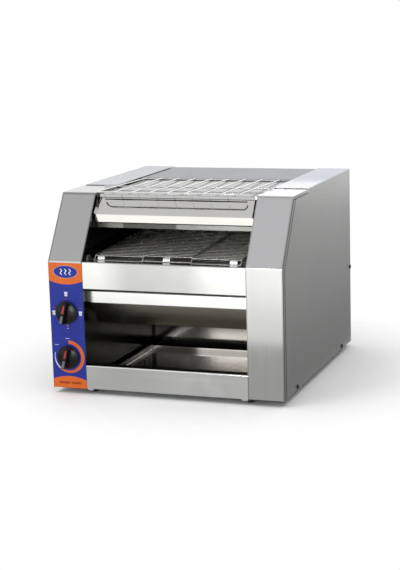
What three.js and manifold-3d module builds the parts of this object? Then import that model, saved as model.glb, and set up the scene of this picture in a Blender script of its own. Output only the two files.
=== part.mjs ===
// Countertop conveyor toaster: two sheet-metal columns and, between them, a wire belt, heaters and a tray.
// Millimetres, +Z up, front towards -Y. The casing is described with its front face at y = 0 and its
// bottom edge at z = 0; the last lines move it so that the feet stand on z = 0 and the box is centred.
import * as THREE from 'three';
import { mergeVertices } from 'three/addons/utils/BufferGeometryUtils.js';
import Module from 'manifold-3d';

const wasm = await Module();
wasm.setup();

// Driving dimensions of the casing.
const width = 460;
const depth = 500;
const height = 366;
const slopeRise = 120;
const slopeSetback = 80;
const columnWidth = 69;
const sheet = 1.2;
const seat = 0.3;
const overrun = 5;
const bendRadius = 2.2;
const arcSteps = 3;
const roundSides = 12;
const slotArcSteps = 2;
const knobSides = 24;
const canSides = 20;
const pinSides = 6;

// Feet and base pan.
const footHeight = 10;
const footRadius = 9;
const footTaper = 2;
const footInset = 73;
const footSetback = 27;
const panFlange = 14;
const ventLength = 34;
const ventWidth = 4;
const ventPitch = 14;
const ventCount = 4;

// Column fronts, side covers and inner walls.
const returnFlange = 6;
const cheekDepth = 7;
const grooveWidth = 1.5;
const coverInset = 1;
const coverOverlapStart = 183;
const tongueLength = 12;
const coverFlange = 12;
const coverTopFlangeDrop = 20;
const coverScrewRadius = 3;
const coverScrewHead = 2.4;
const coverScrewFront = 90;
const coverScrewRear = 78;
const coverScrewLift = 6.5;
const coverScrewEdge = 3.6;
const coverScrewMiddle = 161;

// Top and hood.
const topPanelLength = 187;
const topPanelLip = 14;
const shelfRecess = 3;
const shelfLip = 6.5;
const lipRecess = 6.5;
const hoodStripDrop = 39;
const hoodStrip = 13.5;
const hoodHem = 8;
const hoodEarInset = 3.6;
const hoodEarRecess = 1.5;
const hoodEar = 36;
const hoodHookHeight = 5;
const hoodTopFlange = 16;

// Front apron, deflector, slide and tray.
const apronHeight = 50;
const apronReturn = 12;
const apronFold = 9;
const apronHem = 6.5;
const deflectorSideGap = 6;
const deflectorDrop = 58;
const deflectorFace = 23;
const deflectorSetback = 20;
const deflectorFold = 12;
const deflectorToeDepth = 52;
const deflectorToe = 45;
const deflectorEar = 12;
const slideRun = 134;
const slideFrontHeight = 17;
const slideRearGap = 14;
const slideKick = 80;
const slideTopDrop = 56;
const slideRadius = 60;
const slideArcSteps = 8;
const traySideGap = 9;
const trayRearGap = 190;
const trayRim = 9.5;
const trayFrontBottom = 1.5;
const trayFrontTop = 47;
const trayFold = 22;
const trayFoldHem = 5;
const trayReturn = 11;
const runnerLedge = 12;
const runnerHeight = 11;
const runnerStart = 20;
const runnerStop = 10;

// Belt: wire strands on five-tooth sprockets; the run climbs gently to the rear.
const beltAngle = 2.5;
const frontAxisDepth = 33;
const frontAxisDrop = 122.3;
const beltRearGap = 55;
const wirePitch = 12.7;
const wire = 2;
const beltSideGap = 15;
const sprocketTeeth = 5;
const seatArcSteps = 3;
const zBendShares = [1 / 3, 2 / 3];
const beltTidy = 0.02;
const shaftRadius = 5;
const runningGap = 0.05;
const sprocketWidth = 14;
const sprocketInset = 15;
const seatClearance = 0.15;
const toothHeight = 1.6;
const toothHalfAngle = 9;
const shaftOverhang = 4;
const bearingFlangeRadius = 11;
const bearingFlange = 2.7;
const bearingBarrelRadius = 8;
const bearingBarrel = 4;

// Belt support and heaters.
const railRadius = 2;
const railSides = 8;
const railInner = 24;
const railOuter = 90;
const railEndGap = 16;
const crossRodShares = [0.15, 0.87];
const heaterSides = 7;
const heaterRadius = 4;
const heaterBushRadius = 5.5;
const heaterBush = 6;
const heaterPinRadius = 1.5;
const heaterPin = 8;
const upperHeaterDrop = 44;
const upperHeaterShares = { front: 0.26, middle: 0.45, rear: 0.64 };
const lowerHeaterShares = { front: 0.27, middle: 0.51, rear: 0.75 };
const reflectorFront = 82;
const reflectorRearGap = 30;
const reflectorDrop = 24;
const reflectorCurtain = 43;
const reflectorRearCurtain = 24;
const panDrop = 26;
const panLip = 10;
const panFront = 16;
const panRearGap = 14;

// Chain drive in the right-hand column.
const chainPitch = 9.525;
const motorTeeth = 8;
const drivenTeeth = 12;
const straightLinks = 16;
const driveLineAngle = 47;
const chainRollerRadius = 2.54;
const chainRollerSides = 4;
const chainPlateHalf = 3.6;
const chainPlate = 1.2;
const chainSprocketWidth = 4.6;
const chainRunGap = 0.7;
const chainWallGap = 7;
const hubRadius = 9;
const hubLength = 5;
const gearboxLength = 70;
const gearboxHeight = 56;
const gearboxThickness = 24;
const gearboxCorner = 6;
const motorCanRadius = 24;
const motorCan = 14;
const standoffRadius = 4;
const standoffAlong = 28;
const standoffAcross = 20;
const motorShaftBore = 8;

// Controls on the left-hand column.
const selectorHeight = 148;
const speedHeight = 61.5;
const overlayThickness = 0.5;
const overlayBottom = 1;
const overlayTopGap = 3;
const overlayHole = 6.5;
const switchNeckRadius = 4.8;
const switchNeckGap = 0.4;
const switchSize = 40;
const switchDepth = 26;
const speedBodyRadius = 14;
const speedBodyDepth = 18;
const tabWidth = 6;
const tabLength = 8;
const tabThickness = 0.8;
const tabSpread = 12;
const spindleRadius = 3;
const spindleDepth = 14;
const knobRadius = 22;
const knobGap = 0.8;
const knobSkirt = 5;
const knobBevel = 1.2;
const gripWidth = 9;
const gripHeight = 16;
const gripTaper = 1.2;
const gripAngle = 14;
const pointerGroove = 1.2;
const pointerBase = 4.2;
const pointerTip = 1.8;
const pointerStand = 0.3;

// Warming rack on the top.
const rackWire = 2.4;
const rackWires = 9;
const rackSideGap = 19;
const rackShift = -8;
const rackOverhang = 26;
const rackRearGap = 5;
const rackRestShare = 0.437;
const rackRest = 30;
const rackFrontRails = 18;

// Rear panel, fan, terminal block and gland.
const louvreLength = 40;
const louvreWidth = 4;
const louvrePitch = 12;
const louvreCount = 6;
const louvreDrop = 101;
const fanSize = 60;
const fanThickness = 20;
const fanDrop = 176;
const fanBore = 27;
const fanBoreSides = 20;
const fanBlades = 7;
const bladeChordShare = 1.15;
const fanHub = 10;
const fanTipGap = 1.2;
const bladeThickness = 1.4;
const bladePitch = 38;
const fanPinRadius = 2;
const fanMotorDepth = 4;
const fanStrut = 3;
const terminalLength = 44;
const terminalHeight = 18;
const terminalDepth = 16;
const terminalWays = 5;
const terminalRadius = 2.6;
const glandHeight = 45;
const glandHoleRadius = 10;
const glandFlangeRadius = 14;
const glandReach = 12;
const glandNut = 6;
const glandBore = 5;

// Values that follow from the driving dimensions.
const halfWidth = width / 2;
const cavityHalf = halfWidth - columnWidth;
const wallGap = sheet + seat;
const wallInner = cavityHalf + wallGap;
const columnMiddle = halfWidth - columnWidth / 2;
const bendHeight = height - slopeRise;
const slopeNormal = slopeRise / Math.hypot(slopeRise, slopeSetback);
const panTop = sheet + seat + sheet;
const rearInner = depth - sheet - seat - sheet;
const skinReach = cavityHalf - seat;
const wallReach = wallInner - seat;
const panelReach = halfWidth - coverInset - sheet - seat;
const wireRadius = wire / 2;
const topPanelStart = depth - topPanelLength;
const trayDepth = depth - trayRearGap;
const trayHalf = cavityHalf - traySideGap;
const slideBack = depth - slideRearGap;
const upperHeaterHeight = height - upperHeaterDrop;
const fanHeight = height - fanDrop;
const frontAxisHeight = height - frontAxisDrop;
const beltHalf = cavityHalf - beltSideGap;
const rackRadius = rackWire / 2;
const rackFront = slopeSetback - rackOverhang;
const rackPlace = rackFront + (topPanelStart - rackRearGap - rackFront) * rackRestShare;
const beltRows = Math.floor((depth - frontAxisDepth - beltRearGap) / wirePitch);
const sprocketSpread = beltHalf - sprocketInset;
const sprocketPitchRadius = wirePitch / (2 * Math.sin(Math.PI / sprocketTeeth));
const beltCentres = beltRows * wirePitch;
const knobReach = knobGap + overlayThickness + seat + knobSkirt + gripHeight + pointerStand;
const metals = {
  casing: { color: 0xb4b5b6, roughness: 0.35, metalness: 1 },
  mirror: { color: 0xc2c3c4, roughness: 0.12, metalness: 1 },
  plated: { color: 0xd8d8d8, roughness: 0.2, metalness: 1 },
  galvanised: { color: 0x9a9d9e, roughness: 0.5, metalness: 1 },
  heater: { color: 0x55504a, roughness: 0.6, metalness: 0.8 },
  motor: { color: 0x6f7478, roughness: 0.5, metalness: 0.7 },
  print: { color: 0x2f3c9a, roughness: 0.45, metalness: 0 },
  black: { color: 0x101010, roughness: 0.25, metalness: 0 },
  red: { color: 0xb82a28, roughness: 0.4, metalness: 0 },
  rubber: { color: 0x161616, roughness: 0.85, metalness: 0 },
};

// Geometry helpers: every piece becomes one closed, indexed body.
function bare(geometry) {
  const copy = geometry.clone();
  copy.deleteAttribute('normal');
  copy.deleteAttribute('uv');
  return mergeVertices(copy);
}

function solidOf(geometry) {
  const merged = bare(geometry);
  return new wasm.Manifold(new wasm.Mesh({
    numProp: 3,
    vertProperties: new Float32Array(merged.attributes.position.array),
    triVerts: new Uint32Array(merged.index.array),
  }));
}

function geometryOf(solid) {
  const mesh = solid.getMesh();
  const geometry = new THREE.BufferGeometry();
  geometry.setAttribute('position', new THREE.BufferAttribute(new Float32Array(mesh.vertProperties), 3));
  geometry.setIndex(new THREE.BufferAttribute(new Uint32Array(mesh.triVerts), 1));
  return geometry;
}

function joined(...geometries) {
  return geometryOf(geometries.map(solidOf).reduce((sum, next) => sum.add(next)));
}

function cut(geometry, ...tools) {
  return geometryOf(tools.map(solidOf).reduce((rest, tool) => rest.subtract(tool), solidOf(geometry)));
}

// A filled outline with holes, always drawn anticlockwise.
function shapeOf(outline, holes = []) {
  const vectors = (points) => points.map(([a, b]) => new THREE.Vector2(a, b));
  const rim = vectors(outline);
  const shape = new THREE.Shape(THREE.ShapeUtils.isClockWise(rim) ? rim.reverse() : rim);
  shape.holes = holes.map((hole) => new THREE.Path(vectors(hole)));
  return shape;
}

function extruded(shape, length) {
  return new THREE.ExtrudeGeometry(shape, { depth: length, bevelEnabled: false });
}

// A shape in (y, z), extruded along X between two places.
function acrossX(shape, fromX, toX) {
  const turn = new THREE.Matrix4().makeBasis(
    new THREE.Vector3(0, 1, 0), new THREE.Vector3(0, 0, 1), new THREE.Vector3(1, 0, 0));
  return extruded(shape, toX - fromX).applyMatrix4(turn).translate(fromX, 0, 0);
}

// A shape in (x, z), extruded along Y between two places.
function alongY(shape, fromY, toY) {
  const turn = new THREE.Matrix4().makeBasis(
    new THREE.Vector3(1, 0, 0), new THREE.Vector3(0, 0, 1), new THREE.Vector3(0, -1, 0));
  return extruded(shape, toY - fromY).applyMatrix4(turn).translate(0, toY, 0);
}

// A shape in (x, y), extruded upwards between two heights.
function upwards(shape, fromZ, toZ) {
  return extruded(shape, toZ - fromZ).translate(0, 0, fromZ);
}

function block(fromX, toX, fromY, toY, fromZ, toZ) {
  const box = new THREE.BoxGeometry(Math.abs(toX - fromX), toY - fromY, toZ - fromZ);
  return box.translate((fromX + toX) / 2, (fromY + toY) / 2, (fromZ + toZ) / 2);
}

function circle(centreA, centreB, radius, sides = roundSides) {
  return Array.from({ length: sides }, (_, k) => {
    const angle = (2 * Math.PI * k) / sides;
    return [centreA + radius * Math.cos(angle), centreB + radius * Math.sin(angle)];
  });
}

// A slot with round ends, lying along the first coordinate.
function slot(centreA, centreB, length, slotWidth) {
  const radius = slotWidth / 2;
  const reach = length / 2 - radius;
  const end = (sign) => Array.from({ length: slotArcSteps + 1 }, (_, k) => {
    const angle = Math.PI * (k / slotArcSteps - 0.5);
    return [centreA + sign * (reach + radius * Math.cos(angle)), centreB + sign * radius * Math.sin(angle)];
  });
  return [...end(1), ...end(-1)];
}

function sub(a, b) {
  return [a[0] - b[0], a[1] - b[1]];
}

function unit(v) {
  const size = Math.hypot(...v);
  return [v[0] / size, v[1] / size];
}

// Rounds the inner corners of an open path; radiusAt gives the radius for the way the path turns.
function roundedPath(points, radiusAt, steps = arcSteps) {
  const result = [points[0]];
  for (let k = 1; k < points.length - 1; k += 1) {
    const into = unit(sub(points[k], points[k - 1]));
    const out = unit(sub(points[k + 1], points[k]));
    const turn = Math.atan2(into[0] * out[1] - into[1] * out[0], into[0] * out[0] + into[1] * out[1]);
    const radius = radiusAt(turn);
    if (radius <= 0) {
      result.push(points[k]);
      continue;
    }
    const reach = radius * Math.tan(Math.abs(turn) / 2);
    const side = Math.sign(turn);
    const start = [points[k][0] - into[0] * reach, points[k][1] - into[1] * reach];
    const centre = [start[0] - side * into[1] * radius, start[1] + side * into[0] * radius];
    for (let step = 0; step <= steps; step += 1) {
      const angle = (turn * step) / steps;
      const arm = sub(start, centre);
      result.push([centre[0] + arm[0] * Math.cos(angle) - arm[1] * Math.sin(angle),
        centre[1] + arm[0] * Math.sin(angle) + arm[1] * Math.cos(angle)]);
    }
  }
  result.push(points[points.length - 1]);
  return result;
}

// Moves an open path sideways to the right of its travel, with mitred corners.
function offsetPath(points, distance) {
  return points.map((point, k) => {
    const into = k > 0 ? unit(sub(point, points[k - 1])) : unit(sub(points[1], point));
    const out = k < points.length - 1 ? unit(sub(points[k + 1], point)) : into;
    const scale = distance / (1 + into[0] * out[0] + into[1] * out[1]);
    return [point[0] + scale * (into[1] + out[1]), point[1] - scale * (into[0] + out[0])];
  });
}

// Outline of bent sheet metal: the path is the outer face and the sheet lies to the right of its travel.
function bentSheet(path, thickness = sheet, radius = bendRadius, steps = arcSteps) {
  const inside = Math.max(radius - thickness, 0);
  const outer = roundedPath(path, (turn) => (turn < 0 ? radius : inside), steps);
  const inner = roundedPath(offsetPath(path, thickness), (turn) => (turn < 0 ? inside : radius), steps);
  return [...outer, ...inner.reverse()];
}

// A revolved piece with its axis along X, Y or Z; the profile is a list of [radius, place].
function turned(profile, axis, sides = roundSides) {
  const points = profile.map(([radius, place]) => new THREE.Vector2(radius, place));
  const lathe = new THREE.LatheGeometry(points, sides);
  if (axis === 'x') return lathe.rotateZ(-Math.PI / 2);
  if (axis === 'z') return lathe.rotateX(Math.PI / 2);
  return lathe;
}

function rod(radius, axis, from, to, sides = roundSides) {
  return turned([[0, from], [radius, from], [radius, to], [0, to]], axis, sides);
}

// The radius of a bore whose flats clear a turning shaft.
function runningBore(radius) {
  return (radius + runningGap) / Math.cos(Math.PI / roundSides);
}

function slopeDepth(atHeight, recess = 0) {
  return ((atHeight - bendHeight) * slopeSetback) / slopeRise + recess / slopeNormal;
}

function mesh(name, geometry, finish) {
  const result = new THREE.Mesh(bare(geometry), new THREE.MeshStandardMaterial(metals[finish]));
  result.name = name;
  return result;
}

// Puts a piece drawn for the right-hand side on either side.
function onSide(points, side) {
  return points.map(([x, other]) => [side * x, other]);
}

function spanX(side, inner, outer) {
  return side > 0 ? [inner, outer] : [-outer, -inner];
}

// Side profile of the casing, drawn inwards from its outer face by an inset.
function casingOutline(inset, bottom, rear) {
  return [
    [inset, bottom],
    ...offsetPath([[0, 0], [0, bendHeight], [slopeSetback, height], [depth, height]], inset).slice(1, 3),
    [rear, height - inset],
    [rear, bottom],
  ];
}

// Casing pieces.
function basePan() {
  const reach = panelReach;
  const holes = [-1, 1].flatMap((side) => Array.from({ length: ventCount }, (_, k) =>
    slot(side * columnMiddle, depth / 2 + (k - (ventCount - 1) / 2) * ventPitch, ventLength, ventWidth)));
  const front = bendRadius + seat;
  const rear = rearInner - seat;
  const outline = [[-reach, front], [reach, front], [reach, rear], [-reach, rear]];
  const floor = upwards(shapeOf(outline, holes), wallGap, panTop);
  const flanges = [-1, 1].map((side) => block(side * (reach - sheet), side * reach, front, rear, wallGap,
    wallGap + panFlange));
  const back = block(-reach, reach, rear - sheet, rear, wallGap, wallGap + panFlange);
  return joined(floor, ...flanges, back);
}

function foot() {
  const profile = [[0, -footHeight], [footRadius - footTaper, -footHeight], [footRadius, -footTaper],
    [footRadius, sheet], [0, sheet]];
  return turned(profile, 'z');
}

function columnFront(side, holes) {
  const path = [[returnFlange, 0], [0, 0], [0, bendHeight], [slopeSetback, height],
    [coverOverlapStart - grooveWidth, height]];
  const cheekPath = [[0, panTop + seat], ...path.slice(2)];
  const folded = (line, thickness, inner, outer) =>
    acrossX(shapeOf(bentSheet(line, thickness)), ...spanX(side, inner, outer));
  const skin = folded(path, sheet, cavityHalf, halfWidth);
  const returned = folded(path.slice(1), returnFlange, halfWidth - sheet, halfWidth);
  const cheek = folded(cheekPath, cheekDepth, cavityHalf, cavityHalf + sheet);
  const tongueReach = halfWidth - coverInset - bendRadius - seat;
  const tongue = block(side * (wallInner + seat), side * tongueReach, coverOverlapStart - tongueLength,
    coverOverlapStart + tongueLength, height - sheet, height);
  const body = joined(skin, returned, cheek, tongue);
  if (holes.length === 0) return body;
  const tools = holes.map((place) => rod(switchNeckRadius + seat, 'y', -overrun, overrun)
    .translate(side * columnMiddle, 0, place));
  return cut(body, ...tools);
}

function sideCover(side) {
  const inset = returnFlange + grooveWidth;
  const outer = halfWidth - coverInset;
  const panel = acrossX(shapeOf(casingOutline(inset, 0, depth)), ...spanX(side, outer - sheet, outer));
  const coverTop = height + seat + sheet;
  const hood = [[outer, height - coverTopFlangeDrop], [outer, coverTop], [cavityHalf, coverTop]];
  const travel = hood.map(([x, z]) => [-x, z]);
  const top = alongY(shapeOf(onSide(bentSheet(travel), -side)), coverOverlapStart, depth);
  const sill = block(side * (outer - coverFlange), side * outer, inset, depth, 0, sheet);
  const back = block(side * (outer - coverFlange), side * outer, depth - sheet, depth, 0, height - sheet);
  const screw = [[0, outer - sheet / 2], [coverScrewRadius, outer - sheet / 2], [coverScrewRadius, outer],
    [coverScrewRadius / 2, outer + coverScrewHead], [0, outer + coverScrewHead]];
  const places = [[coverScrewFront, coverScrewLift], [depth - coverScrewRear, coverScrewLift],
    [depth - coverScrewEdge, coverScrewMiddle]];
  const screws = places.map(([y, z]) => {
    const head = turned(screw, 'x', railSides);
    return (side > 0 ? head : head.rotateZ(Math.PI)).translate(0, y, z);
  });
  return joined(panel, top, sill, back, ...screws);
}

function innerWall(side) {
  const inset = wallGap;
  const holes = [...shaftPlaces().map(([y, z]) => circle(y, z, bearingBarrelRadius + seat)),
    ...heaterPlaces().map(([y, z]) => circle(y, z, heaterBushRadius + seat * 2, heaterSides)),
    ...crossRodPlaces().map(([y, z]) => circle(y, z, railRadius + seat, railSides))];
  const outline = casingOutline(inset, panTop + seat, rearInner - seat - sheet - seat);
  return acrossX(shapeOf(outline, holes), ...spanX(side, wallInner, wallInner + sheet));
}

function rearPanel() {
  const reach = panelReach;
  const holes = [];
  for (const side of [-1, 1]) {
    for (let k = 0; k < louvreCount; k += 1) {
      const level = height - louvreDrop + k * louvrePitch;
      holes.push(slot(side * columnMiddle, level, louvreLength, louvreWidth));
    }
  }
  const grille = Math.floor((fanBore - louvreWidth) / louvrePitch);
  for (let k = -grille; k <= grille; k += 1) {
    const drop = k * louvrePitch;
    const chord = 2 * Math.sqrt((fanBore - louvreWidth / 2) ** 2 - drop ** 2);
    holes.push(slot(-columnMiddle, fanHeight + drop, chord, louvreWidth));
  }
  holes.push(circle(columnMiddle, glandHeight, glandHoleRadius + seat));
  const top = height - bendRadius - seat;
  const outline = [[-reach, panTop], [reach, panTop], [reach, top], [-reach, top]];
  const face = alongY(shapeOf(outline, holes), rearInner, rearInner + sheet);
  const ledge = block(-skinReach, skinReach, rearInner - topPanelLip, rearInner + sheet, top - sheet, top);
  return joined(face, ledge);
}

function topPanel() {
  const path = [[topPanelStart, height - topPanelLip], [topPanelStart, height], [depth, height],
    [depth, height - topPanelLip]];
  return acrossX(shapeOf(bentSheet(path)), -skinReach, skinReach);
}

function warmingShelf() {
  const level = height - shelfRecess;
  const drop = level - shelfLip * slopeNormal;
  const path = [[slopeDepth(drop, lipRecess), drop], [slopeDepth(level, lipRecess), level],
    [topPanelStart - seat, level], [topPanelStart - seat, height - topPanelLip]];
  const body = acrossX(shapeOf(bentSheet(path)), -skinReach, skinReach);
  const notchInner = cavityHalf - hoodEarInset - sheet - seat;
  const notches = [-1, 1].map((side) => block(side * notchInner, side * (cavityHalf + overrun), 0,
    slopeDepth(level, lipRecess) + hoodTopFlange / 2, bendHeight, height));
  return cut(body, ...notches);
}

function hoodFront() {
  const recess = lipRecess + sheet + seat;
  const under = height - shelfRecess - sheet - seat;
  const stripTop = height - hoodStripDrop;
  const stripBottom = stripTop - hoodStrip;
  const stripDepth = slopeDepth(stripTop, recess);
  const topDepth = slopeDepth(under, recess);
  const path = [[stripDepth + hoodHem, stripBottom], [stripDepth, stripBottom], [stripDepth, stripTop],
    [topDepth, under], [topDepth + hoodTopFlange, under]];
  const earOuter = cavityHalf - hoodEarInset;
  const plate = acrossX(shapeOf(bentSheet(path)), -earOuter, earOuter);
  const round = (recess - hoodEarRecess) / 2;
  const earTop = height - hoodEarRecess;
  const earBottom = height - hoodEar;
  const earShape = shapeOf(bentSheet([[slopeDepth(earBottom, hoodEarRecess), earBottom],
    [slopeDepth(earTop, hoodEarRecess), earTop]], recess + sheet / 2 - hoodEarRecess, round));
  const hookBottom = earTop - hoodHookHeight;
  const hookFront = hoodEarRecess + sheet;
  const ears = [-1, 1].flatMap((side) => [
    acrossX(earShape, ...spanX(side, earOuter - sheet, earOuter)),
    block(side * (earOuter - sheet), side * skinReach, slopeDepth(hookBottom, hookFront),
      slopeDepth(hookBottom, hookFront + recess / 2), hookBottom, earTop - sheet),
  ]);
  return joined(plate, ...ears);
}

function upperReflector() {
  const top = height - reflectorDrop;
  const rear = depth - reflectorRearGap;
  const path = [[reflectorFront, top - reflectorCurtain], [reflectorFront, top], [rear, top],
    [rear, top - reflectorRearCurtain]];
  return acrossX(shapeOf(bentSheet(path)), -wallReach, wallReach);
}

function frontApron() {
  const bottom = bendHeight - apronHeight;
  const path = [[apronReturn, bottom], [0, bottom], [0, bendHeight], [apronFold, bendHeight],
    [apronFold, bendHeight - apronHem]];
  return acrossX(shapeOf(bentSheet(path)), -skinReach, skinReach);
}

function lowerDeflector() {
  const reach = cavityHalf - deflectorSideGap;
  const front = deflectorSetback;
  const top = bendHeight - deflectorDrop;
  const bend = top - deflectorFace;
  const toe = bend - deflectorToe;
  const path = [[deflectorToeDepth + deflectorFold / 2, toe], [deflectorToeDepth, toe], [front, bend],
    [front, top], [front + deflectorFold, top]];
  const plate = acrossX(shapeOf(bentSheet(path)), -reach, reach);
  const ears = [-1, 1].map((side) => block(side * (reach - deflectorEar), side * wallReach,
    front + sheet / 2, front + sheet * 2, bend + sheet, top - sheet));
  return joined(plate, ...ears);
}

// Upright kick plate over the tray's rear, then a slope of one in one up to the rear of the belt.
function returnSlide() {
  const front = slideBack - slideRun;
  const path = [[front, slideFrontHeight], [front, slideKick], [slideBack, slideKick + slideRun],
    [slideBack, height - slideTopDrop]];
  return acrossX(shapeOf(bentSheet(path, sheet, slideRadius, slideArcSteps)), -wallReach, wallReach);
}

// Tray and its runners.
function trayPan() {
  const reach = trayHalf;
  const floor = panTop + seat + sheet + seat;
  const start = sheet + seat;
  const section = bentSheet([[-reach, floor + trayRim], [-reach, floor], [reach, floor],
    [reach, floor + trayRim]], -sheet, 0);
  const channel = alongY(shapeOf(section), start, trayDepth);
  const rear = block(-reach, reach, trayDepth - sheet, trayDepth, floor, floor + trayRim);
  const front = block(-reach, reach, start, start + sheet, floor, trayFrontTop - bendRadius - seat);
  return joined(channel, rear, front);
}

function trayFront() {
  const path = [[0, trayFrontBottom], [0, trayFrontTop], [trayFold, trayFrontTop],
    [trayFold, trayFrontTop - trayFoldHem]];
  const face = acrossX(shapeOf(bentSheet(path)), -skinReach, skinReach);
  const ends = [-1, 1].map((side) => block(side * (skinReach - sheet), side * skinReach, sheet / 2,
    trayReturn, panTop + seat, trayFrontTop - sheet / 2));
  return joined(face, ...ends);
}

function trayRunner(side) {
  const outer = trayHalf + wallGap + sheet;
  const bottom = panTop + seat;
  const strip = (inner, top) => block(side * inner, side * outer, runnerStart, trayDepth + runnerStop,
    bottom, top);
  return joined(strip(outer - runnerLedge, bottom + sheet), strip(outer - sheet, bottom + runnerHeight));
}

// Places on the sloping belt line, turned into the casing's own (y, z).
function onBelt(along, up) {
  const rise = THREE.MathUtils.degToRad(beltAngle);
  return [frontAxisDepth + along * Math.cos(rise) - up * Math.sin(rise),
    frontAxisHeight + along * Math.sin(rise) + up * Math.cos(rise)];
}

function shaftPlaces() {
  return [onBelt(0, 0), onBelt(beltCentres, 0)];
}

function lowerHeaterAlong() {
  return Object.entries(lowerHeaterShares).map(([name, share]) => [name, share * beltCentres]);
}

function heaterPlaces() {
  return [...Object.values(upperHeaterShares).map((share) => [share * depth, upperHeaterHeight]),
    ...lowerHeaterAlong().map(([, along]) => onBelt(along, 0))];
}

const railLevel = sprocketPitchRadius - wireRadius - seat - railRadius;
const crossRodLevel = railLevel - railRadius * 2 + railRadius / 4;

function crossRodPlaces() {
  return crossRodShares.map((share) => onBelt(share * beltCentres, crossRodLevel));
}

// A toothed wheel: round seats for the wires or rollers, with a tapered tooth between each pair.
function wheelOutline(teeth, pitchRadius, seatRadius, tip, tipHalfAngle) {
  const points = [];
  const step = (2 * Math.PI) / teeth;
  const seatReach = seatRadius / Math.cos(Math.PI / (2 * seatArcSteps));
  for (let k = 0; k < teeth; k += 1) {
    const at = Math.PI / 2 + k * step;
    for (let part = 0; part <= seatArcSteps; part += 1) {
      const angle = at - Math.PI / 2 - (Math.PI * part) / seatArcSteps;
      points.push([pitchRadius * Math.cos(at) + seatReach * Math.cos(angle),
        pitchRadius * Math.sin(at) + seatReach * Math.sin(angle)]);
    }
    for (const sign of [-1, 1]) {
      const angle = at + step / 2 + sign * THREE.MathUtils.degToRad(tipHalfAngle);
      points.push([(pitchRadius + tip) * Math.cos(angle), (pitchRadius + tip) * Math.sin(angle)]);
    }
  }
  return points;
}

function beltSprocket(place) {
  const wireReach = wireRadius * Math.SQRT2;
  const outline = wheelOutline(sprocketTeeth, sprocketPitchRadius, wireReach + seatClearance, toothHeight,
    toothHalfAngle);
  const wheel = shapeOf(outline, [circle(0, 0, runningBore(shaftRadius))]);
  return acrossX(wheel, place - sprocketWidth / 2, place + sprocketWidth / 2);
}

// Rows of the closed belt as [along, up, angle of the outward normal].
function beltRowPlaces() {
  const step = (2 * Math.PI) / sprocketTeeth;
  const around = (centre, angle) => [centre + sprocketPitchRadius * Math.cos(angle),
    sprocketPitchRadius * Math.sin(angle), angle];
  const under = -sprocketPitchRadius * Math.cos(step / 2);
  const rows = [];
  for (let k = 0; k <= beltRows; k += 1) {
    rows.push([k * wirePitch, sprocketPitchRadius, Math.PI / 2]);
  }
  rows.push(around(beltCentres, Math.PI / 2 - step));
  for (let k = beltRows; k >= -1; k -= 1) {
    rows.push([(k + 0.5) * wirePitch, under, -Math.PI / 2]);
  }
  rows.push(around(0, Math.PI / 2 + step));
  return rows;
}

// One strand: edge bend, outer stretch, middle stretch one row on, outer stretch, edge bend. The next
// strand starts where this one's middle stretch lies, so the rows meet at the bends and form one net.
function strand(row, next) {
  const edge = beltHalf - wireRadius;
  const [left, right] = zBendShares.map((share) => (share * 2 - 1) * beltHalf);
  const normal = ([, , angle]) => new THREE.Vector3(0, Math.cos(angle), Math.sin(angle));
  const path = [[-edge, next], [-edge, row], [left, row], [left, next], [right, next], [right, row],
    [edge, row], [edge, next]];
  const centres = path.map(([x, place]) => new THREE.Vector3(x, place[0], place[1]));
  const forward = new THREE.Vector3().subVectors(centres[0], centres[1]).normalize();
  const back = forward.clone().negate();
  const across = new THREE.Vector3(1, 0, 0);
  const travel = [back, across, forward, across, back, across, forward];
  const vertices = [];
  path.forEach(([, place], k) => {
    const up = normal(place);
    const before = travel[Math.max(k - 1, 0)];
    const after = travel[Math.min(k, travel.length - 1)];
    const sideBefore = new THREE.Vector3().crossVectors(up, before).normalize();
    const sideAfter = new THREE.Vector3().crossVectors(up, after).normalize();
    const mitre = sideBefore.equals(sideAfter) ? sideBefore : sideBefore.clone().add(sideAfter);
    for (const [a, b] of [[-1, -1], [1, -1], [1, 1], [-1, 1]]) {
      const corner = centres[k].clone().addScaledVector(mitre, a * wireRadius);
      vertices.push(...corner.addScaledVector(up, b * wireRadius).toArray());
    }
  });
  const faces = [0, 2, 1, 0, 3, 2];
  for (let k = 0; k < path.length - 1; k += 1) {
    for (let side = 0; side < 4; side += 1) {
      const a = 4 * k + side;
      const b = 4 * k + ((side + 1) % 4);
      faces.push(a, b, a + 4, b, b + 4, a + 4);
    }
  }
  const end = 4 * (path.length - 1);
  faces.push(end, end + 1, end + 2, end, end + 2, end + 3);
  const geometry = new THREE.BufferGeometry();
  geometry.setAttribute('position', new THREE.Float32BufferAttribute(vertices, 3));
  geometry.setIndex(faces);
  return geometry;
}

function wireBelt() {
  const rows = beltRowPlaces();
  const strands = rows.map((row, k) => solidOf(strand(row, rows[(k + 1) % rows.length])));
  const net = geometryOf(strands.reduce((sum, next) => sum.add(next)));
  return geometryOf(solidOf(net).simplify(beltTidy));
}

function beltSupport() {
  const reach = wallInner + sheet + railRadius;
  const railEnd = beltCentres - railEndGap;
  const rails = [-railOuter, -railInner, railInner, railOuter].map((place) =>
    rod(railRadius, 'y', railEndGap, railEnd, railSides)
    .translate(place, 0, railLevel));
  const ties = crossRodShares.map((share) => rod(railRadius, 'x', -reach, reach, railSides)
    .translate(0, share * beltCentres, crossRodLevel));
  return joined(...ties, ...rails);
}

function bearing(side) {
  const bore = runningBore(shaftRadius);
  const start = wallReach - bearingFlange;
  const end = wallInner + sheet + bearingBarrel;
  const profile = [[bore, start], [bearingFlangeRadius, start], [bearingFlangeRadius, wallReach],
    [bearingBarrelRadius, wallReach], [bearingBarrelRadius, end], [bore, end], [bore, start]];
  const piece = turned(profile, 'x');
  return side > 0 ? piece : piece.rotateZ(Math.PI);
}

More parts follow.
